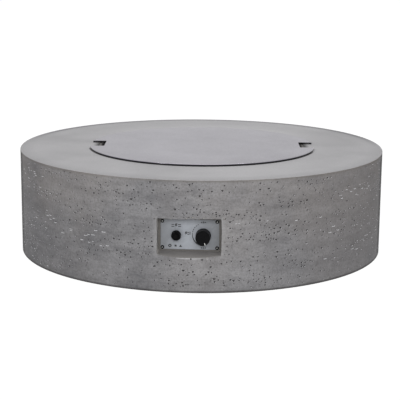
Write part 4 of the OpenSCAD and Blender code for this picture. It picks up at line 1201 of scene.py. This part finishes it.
# %% Grip ribs by Geometry Nodes
tree, sizes = start_tree("grip_ribs_tree", Count=10, Foot_Radius=0.01, Face_Radius=0.01, Length=0.01,
                         Width=0.001, Foot=0.0)
ring = add(tree, "MeshCircle", {"Vertices": sizes["Count"], "Radius": sizes["Foot_Radius"]})
taper = combine("SUBTRACT", sizes["Foot_Radius"], sizes["Face_Radius"])
lean = times(combine("ARCTAN2", taper, sizes["Length"]), -1.0)
rib = add(tree, "MeshCone", {"Vertices": 8, "Radius Top": sizes["Width"], "Radius Bottom": sizes["Width"],
                             "Depth": sizes["Length"]}).outputs["Mesh"]
rib = add(tree, "Transform", {"Geometry": rib, "Rotation": add(tree, "CombineXYZ", {"Y": lean})})
angle = times(add(tree, "InputIndex"), combine("DIVIDE", 2 * math.pi, sizes["Count"]))
copies = add(tree, "InstanceOnPoints", {"Points": ring, "Instance": rib,
                                        "Rotation": add(tree, "CombineXYZ", {"Z": angle})})
shift = add(tree, "CombineXYZ", {"Z": sizes["Foot"]})
end_tree(tree, add(tree, "Transform", {"Geometry": copies, "Translation": shift}), rib_plastic_painted_light)
rib_middle = (KNOB_BASE_R + KNOB_FACE_R) / 2 - 2 * RIB
ribs = grow("gas_knob_ribs", tree, Count=44, Foot_Radius=rib_middle * MM,
            Face_Radius=(rib_middle - 0.4) * MM, Length=(KNOB_OUT - KNOB_FOOT - 7.5) * MM,
            Width=0.7 * MM, Foot=(KNOB_FOOT + 4.5) * MM)
outward(ribs)
crisp(ribs, 50)
to_panel(ribs, KNOB_X, AXIS_UP)
finish_piece(ribs, "gas_knob", "black_plastic", None)

# %% [markdown]
# The pointer is a groove filled with white enamel. It crosses the rim of the face and runs a little
# way down the side, so it can be read from above too.

# %% Knob pointer
POINTER_TURN = 201
POINTER_HALF = 0.9
pointer_side = [(13.2, KNOB_OUT - 0.6), (13.6, KNOB_OUT - 0.2), (15.0, KNOB_OUT - 0.02),
                (16.0, KNOB_OUT + 0.06)]
pointer_side += arc(KNOB_FACE_R - RIB - FACE_ROUND, KNOB_OUT - FACE_ROUND, FACE_ROUND + 0.12, 85, 5, 6)
pointer_side += [(KNOB_FACE_R - 0.1, KNOB_OUT - 4.2), (KNOB_FACE_R - 0.6, KNOB_OUT - 4.6),
                 (KNOB_FACE_R - 1.4, KNOB_OUT - 4.4), (KNOB_FACE_R - 2.2, KNOB_OUT - 1.8),
                 (13.6, KNOB_OUT - 1.4)]
pointer = solid("gas_knob_pointer", *stack([[(x * MM, y * MM, z * MM) for x, z in pointer_side]
                                            for y in (-POINTER_HALF, POINTER_HALF)]))
to_panel(pointer, KNOB_X, AXIS_UP, turn=90 + POINTER_TURN)
crisp(pointer)
finish_piece(pointer, "gas_knob", "white_paint", white_paint, "knob_pointer")

# %% [markdown]
# ## The igniter
# The igniter's cap unscrews to change its battery. It is a plain moulding that tapers to its face, and
# the button stands in its middle with a domed top. Both are turned, with their sizes in millimetres.

# %% Cap and button
cap_section = [(7.3, 16.2), (8.2, 16.5), (8.6, 17), (10.6, 17)]
cap_section += arc(10.5, 16.2, 0.8, 80, 10, 4)
cap_section += [(12.1, 10.4), (12.8, 9.6), (12.8, 3.5), (12.4, 3.0), (8.9, 3.0), (8.9, 13), (7.3, 13)]
button_section = [(0, 19.5), (3.0, 19.4), (5.4, 19.1), (6.6, 18.5), (7.1, 17.6), (7.2, 16.8), (7.2, 13),
                  (8.6, 12.7), (8.6, 9.7), (4.9, 9.7), (4.9, -6), (0, -6)]
cap = turned("igniter_cap_body", cap_section, 72)
button = turned("igniter_button_body", button_section, 64)
for piece in (cap, button):
    to_panel(piece, IGNITER_X, AXIS_UP)
finish_piece(cap, "drum", "black_plastic", black_plastic, "igniter_cap")
finish_piece(button, "igniter_button", "button_rubber", button_rubber, "igniter_button")

# %% [markdown]
# ## Lines under the table
# A corrugated line carries the gas from the valve to the burner. The thermocouple's lead and the
# spark wire run beside each other. All three follow smooth curves through chosen points, so one tree
# sweeps a round profile along a path and swells it in a regular rhythm. The plain leads have no
# ripple. All sizes are in millimetres.

# %% A tree that sweeps a line
line_tree, sizes = start_tree("line_tree", Radius=0.001, Ripple=0.0, Pitch=0.005, Step=0.001, Sides=12)
path = add(line_tree, "MeshToCurve", {"Mesh": sizes["Geometry"]})
path = add(line_tree, "ResampleCurve", {"Curve": path, "Length": sizes["Step"]}, mode="LENGTH")
run = add(line_tree, "SplineParameter").outputs["Length"]
wave = combine("COSINE", times(combine("DIVIDE", run, sizes["Pitch"]), 2 * math.pi))
width = combine("SUBTRACT", sizes["Radius"], times(ramp(wave, -1.0, 1.0), sizes["Ripple"]))
profile = add(line_tree, "CurvePrimitiveCircle", {"Resolution": sizes["Sides"], "Radius": 1.0})
tube = add(line_tree, "CurveToMesh", {"Curve": path, "Profile Curve": profile, "Scale": width,
                                      "Fill Caps": True})
end_tree(line_tree, tube, line_coat)

# %% Smooth routes
SMOOTH_STEPS = 8
RIPPLE_PITCH = 5


def smooth_route(points):
    """Smooth curve through points. Its first and last spans stay straight."""
    path = [Vector(p) for p in points]
    curve = [path[0]]
    for a, b, c, d in zip(path, path[1:], path[2:], path[3:]):
        for k in range(SMOOTH_STEPS):
            t = k / SMOOTH_STEPS
            curve.append((2 * b + t * (c - a) + t * t * (2 * a - 5 * b + 4 * c - d)
                          + t ** 3 * (3 * b - a - 3 * c + d)) / 2)
    return [p * MM for p in [*curve, path[-2], path[-1]]]


def bent_route(end_a, run_a, bends, run_b, end_b):
    """Points of a line with a straight run at each end, and bends between them.

    A bend is a share of the way between the straight runs, and the share of the height there.
    """
    a, b = Vector(end_a) + Vector(run_a), Vector(end_b) + Vector(run_b)
    level = [a.lerp(b, share) for share, _ in bends]
    sagging = [(p.x, p.y, p.z * height) for p, (_, height) in zip(level, bends)]
    return [end_a, a, *sagging, b, end_b]


def sweep_line(name, slot, material, route, radius, step, sides, ripple=0.0):
    """Sweeps a line along its route, and prints its length."""
    curve = smooth_route(route)
    line = grow(name + "_swept", line_tree, curve, [(i, i + 1) for i in range(len(curve) - 1)],
                Radius=radius * MM, Ripple=ripple * MM, Pitch=RIPPLE_PITCH * MM, Step=step * MM,
                Sides=sides)
    outward(line)
    crisp(line, 60)
    print(name, "length", round(sum((b - a).length for a, b in zip(curve, curve[1:])), 3), "m")
    finish_piece(line, "drum", slot, material, name)


gas_route = bent_route((KNOB_X, -463.2, AXIS_Z - 47), (0, 0, -25),
                       [(0.035, 0.71), (0.105, 0.49), (0.245, 0.4), (0.44, 0.375), (0.655, 0.38),
                        (0.815, 0.41), (0.925, 0.49), (0.985, 0.685)],
                       (0, 0, -25), (0, 0, 98))
lead_route = bent_route((14, -120, 180), (0, 0, -15),
                        [(0.05, 0.925), (0.2, 0.865), (0.47, 0.865), (0.735, 0.92), (0.935, 0.98)],
                        (0, 15, 0), (KNOB_X, -434.5, AXIS_Z))
wire_route = bent_route((-14, -120, 167), (0, 0, -15),
                        [(0.105, 0.83), (0.33, 0.8), (0.59, 0.87), (0.8, 0.96)],
                        (0, 15, 0), (IGNITER_X, -422, AXIS_Z + 4))
sweep_line("gas_line", "coated_gas_line", line_coat, gas_route, 7.5, 0.8, 20, ripple=1.3)
sweep_line("thermocouple_lead", "copper_lead", copper, lead_route, 1.25, 3, 10)
sweep_line("igniter_wire", "silicone_sleeve", silicone, wire_route, 1.5, 3, 10)

# %% [markdown]
# ## Floor and light
# The photograph is a cut-out on white. The floor and the world are white where the camera, a
# reflection or glass looks at them, and plain mid-grey for the light that they bounce, so that the
# object isn't lit from below by a white sheet. A part of the floor's look stays its own, so that it
# keeps the drum's soft shadow. Under the drum it stays all its own, so that no white shows through
# the weep holes of the pan. One large lamp hangs above. A wide one stands behind the camera and is
# kept out of reflections. Two small ones at the sides glint on the lid's fold.

# %% Floor, world and lamps
FLOOR_HALF = 30
FLOOR_WHITE = 1.2
FLOOR_WHITE_SHARE = 0.8
WORLD_BOUNCED = 0.43


def seen_share(tree):
    """1 for camera, glossy and transmission rays, and 0 for bounced light."""
    rays = add(tree, "LightPath").outputs
    return combine("MAXIMUM", *(rays[f"Is {kind} Ray"] for kind in ("Camera", "Glossy", "Transmission")))


floor_material, shader, place = new_material("studio_floor", Roughness=0.9)
tree = floor_material.node_tree
shader.inputs["Base Color"].default_value = srgb("b8b8b8")
white = add(tree, "Emission", {"Strength": FLOOR_WHITE})
from_middle = add(tree, "VectorMath", {0: place}, operation="LENGTH").outputs["Value"]
open_floor = ramp(from_middle, DRUM_R - WALL, DRUM_R - WALL / 2, 0, FLOOR_WHITE_SHARE)
mixed = add(tree, "MixShader", {0: times(seen_share(tree), open_floor), 1: shader.outputs[0], 2: white})
tree.links.new(mixed.outputs[0], tree.nodes["Material Output"].inputs["Surface"])
floor_corners = [(x * FLOOR_HALF, y * FLOOR_HALF, 0) for x, y in ((-1, -1), (1, -1), (1, 1), (-1, 1))]
floor = make_object("floor", floor_corners, [(0, 1, 2, 3)])
floor.data.materials.append(floor_material)
floor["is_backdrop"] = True
world = bpy.data.worlds.new("studio")
bpy.context.scene.world = world
world.use_nodes = True
tree = world.node_tree
background = tree.nodes["Background"]
background.inputs["Color"].default_value = (1, 1, 1, 1)
level = blend(WORLD_BOUNCED, 1.0, seen_share(tree))
tree.links.new(level.outputs[0], background.inputs["Strength"])


def lamp(name, place, aim, size, power, mirrored=True):
    """A soft square lamp that looks at a point, and may stay out of reflections."""
    data = bpy.data.lights.new(name, "AREA")
    data.size = size
    data.energy = power
    made = new_object(name, data)
    made.visible_glossy = mirrored
    made.matrix_world = looking(place, Vector(aim) - Vector(place))


SIDE_LAMP_FAR = 4.2
SIDE_LAMP_UP = 2.0
lamp("overhead", (0.0, 0.2, 3.2), (0, 0, 0.2), 2.4, 32)
lamp("behind_camera", (0.3, -5.0, 2.0), (0, 0, 0.15), 2.0, 111, mirrored=False)
for name, turn in (("left_front", -36), ("right_front", 43)):
    turn = math.radians(turn)
    place = (SIDE_LAMP_FAR * math.sin(turn), -SIDE_LAMP_FAR * math.cos(turn), SIDE_LAMP_UP)
    lamp(name, place, (0, 0, 0.15), 0.3, 10)
bpy.context.scene.view_settings.view_transform = "Standard"

# %% Print the sizes of the imported model and of what is shown
visual_low, visual_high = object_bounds()
sizes = {"cad": [list(cad_low), list(cad_high)], "visual": [list(visual_low), list(visual_high)]}
print("cad box", [round(v, 4) for v in (*cad_low, *cad_high)])
print("visual box", [round(v, 4) for v in (*visual_low, *visual_high)])
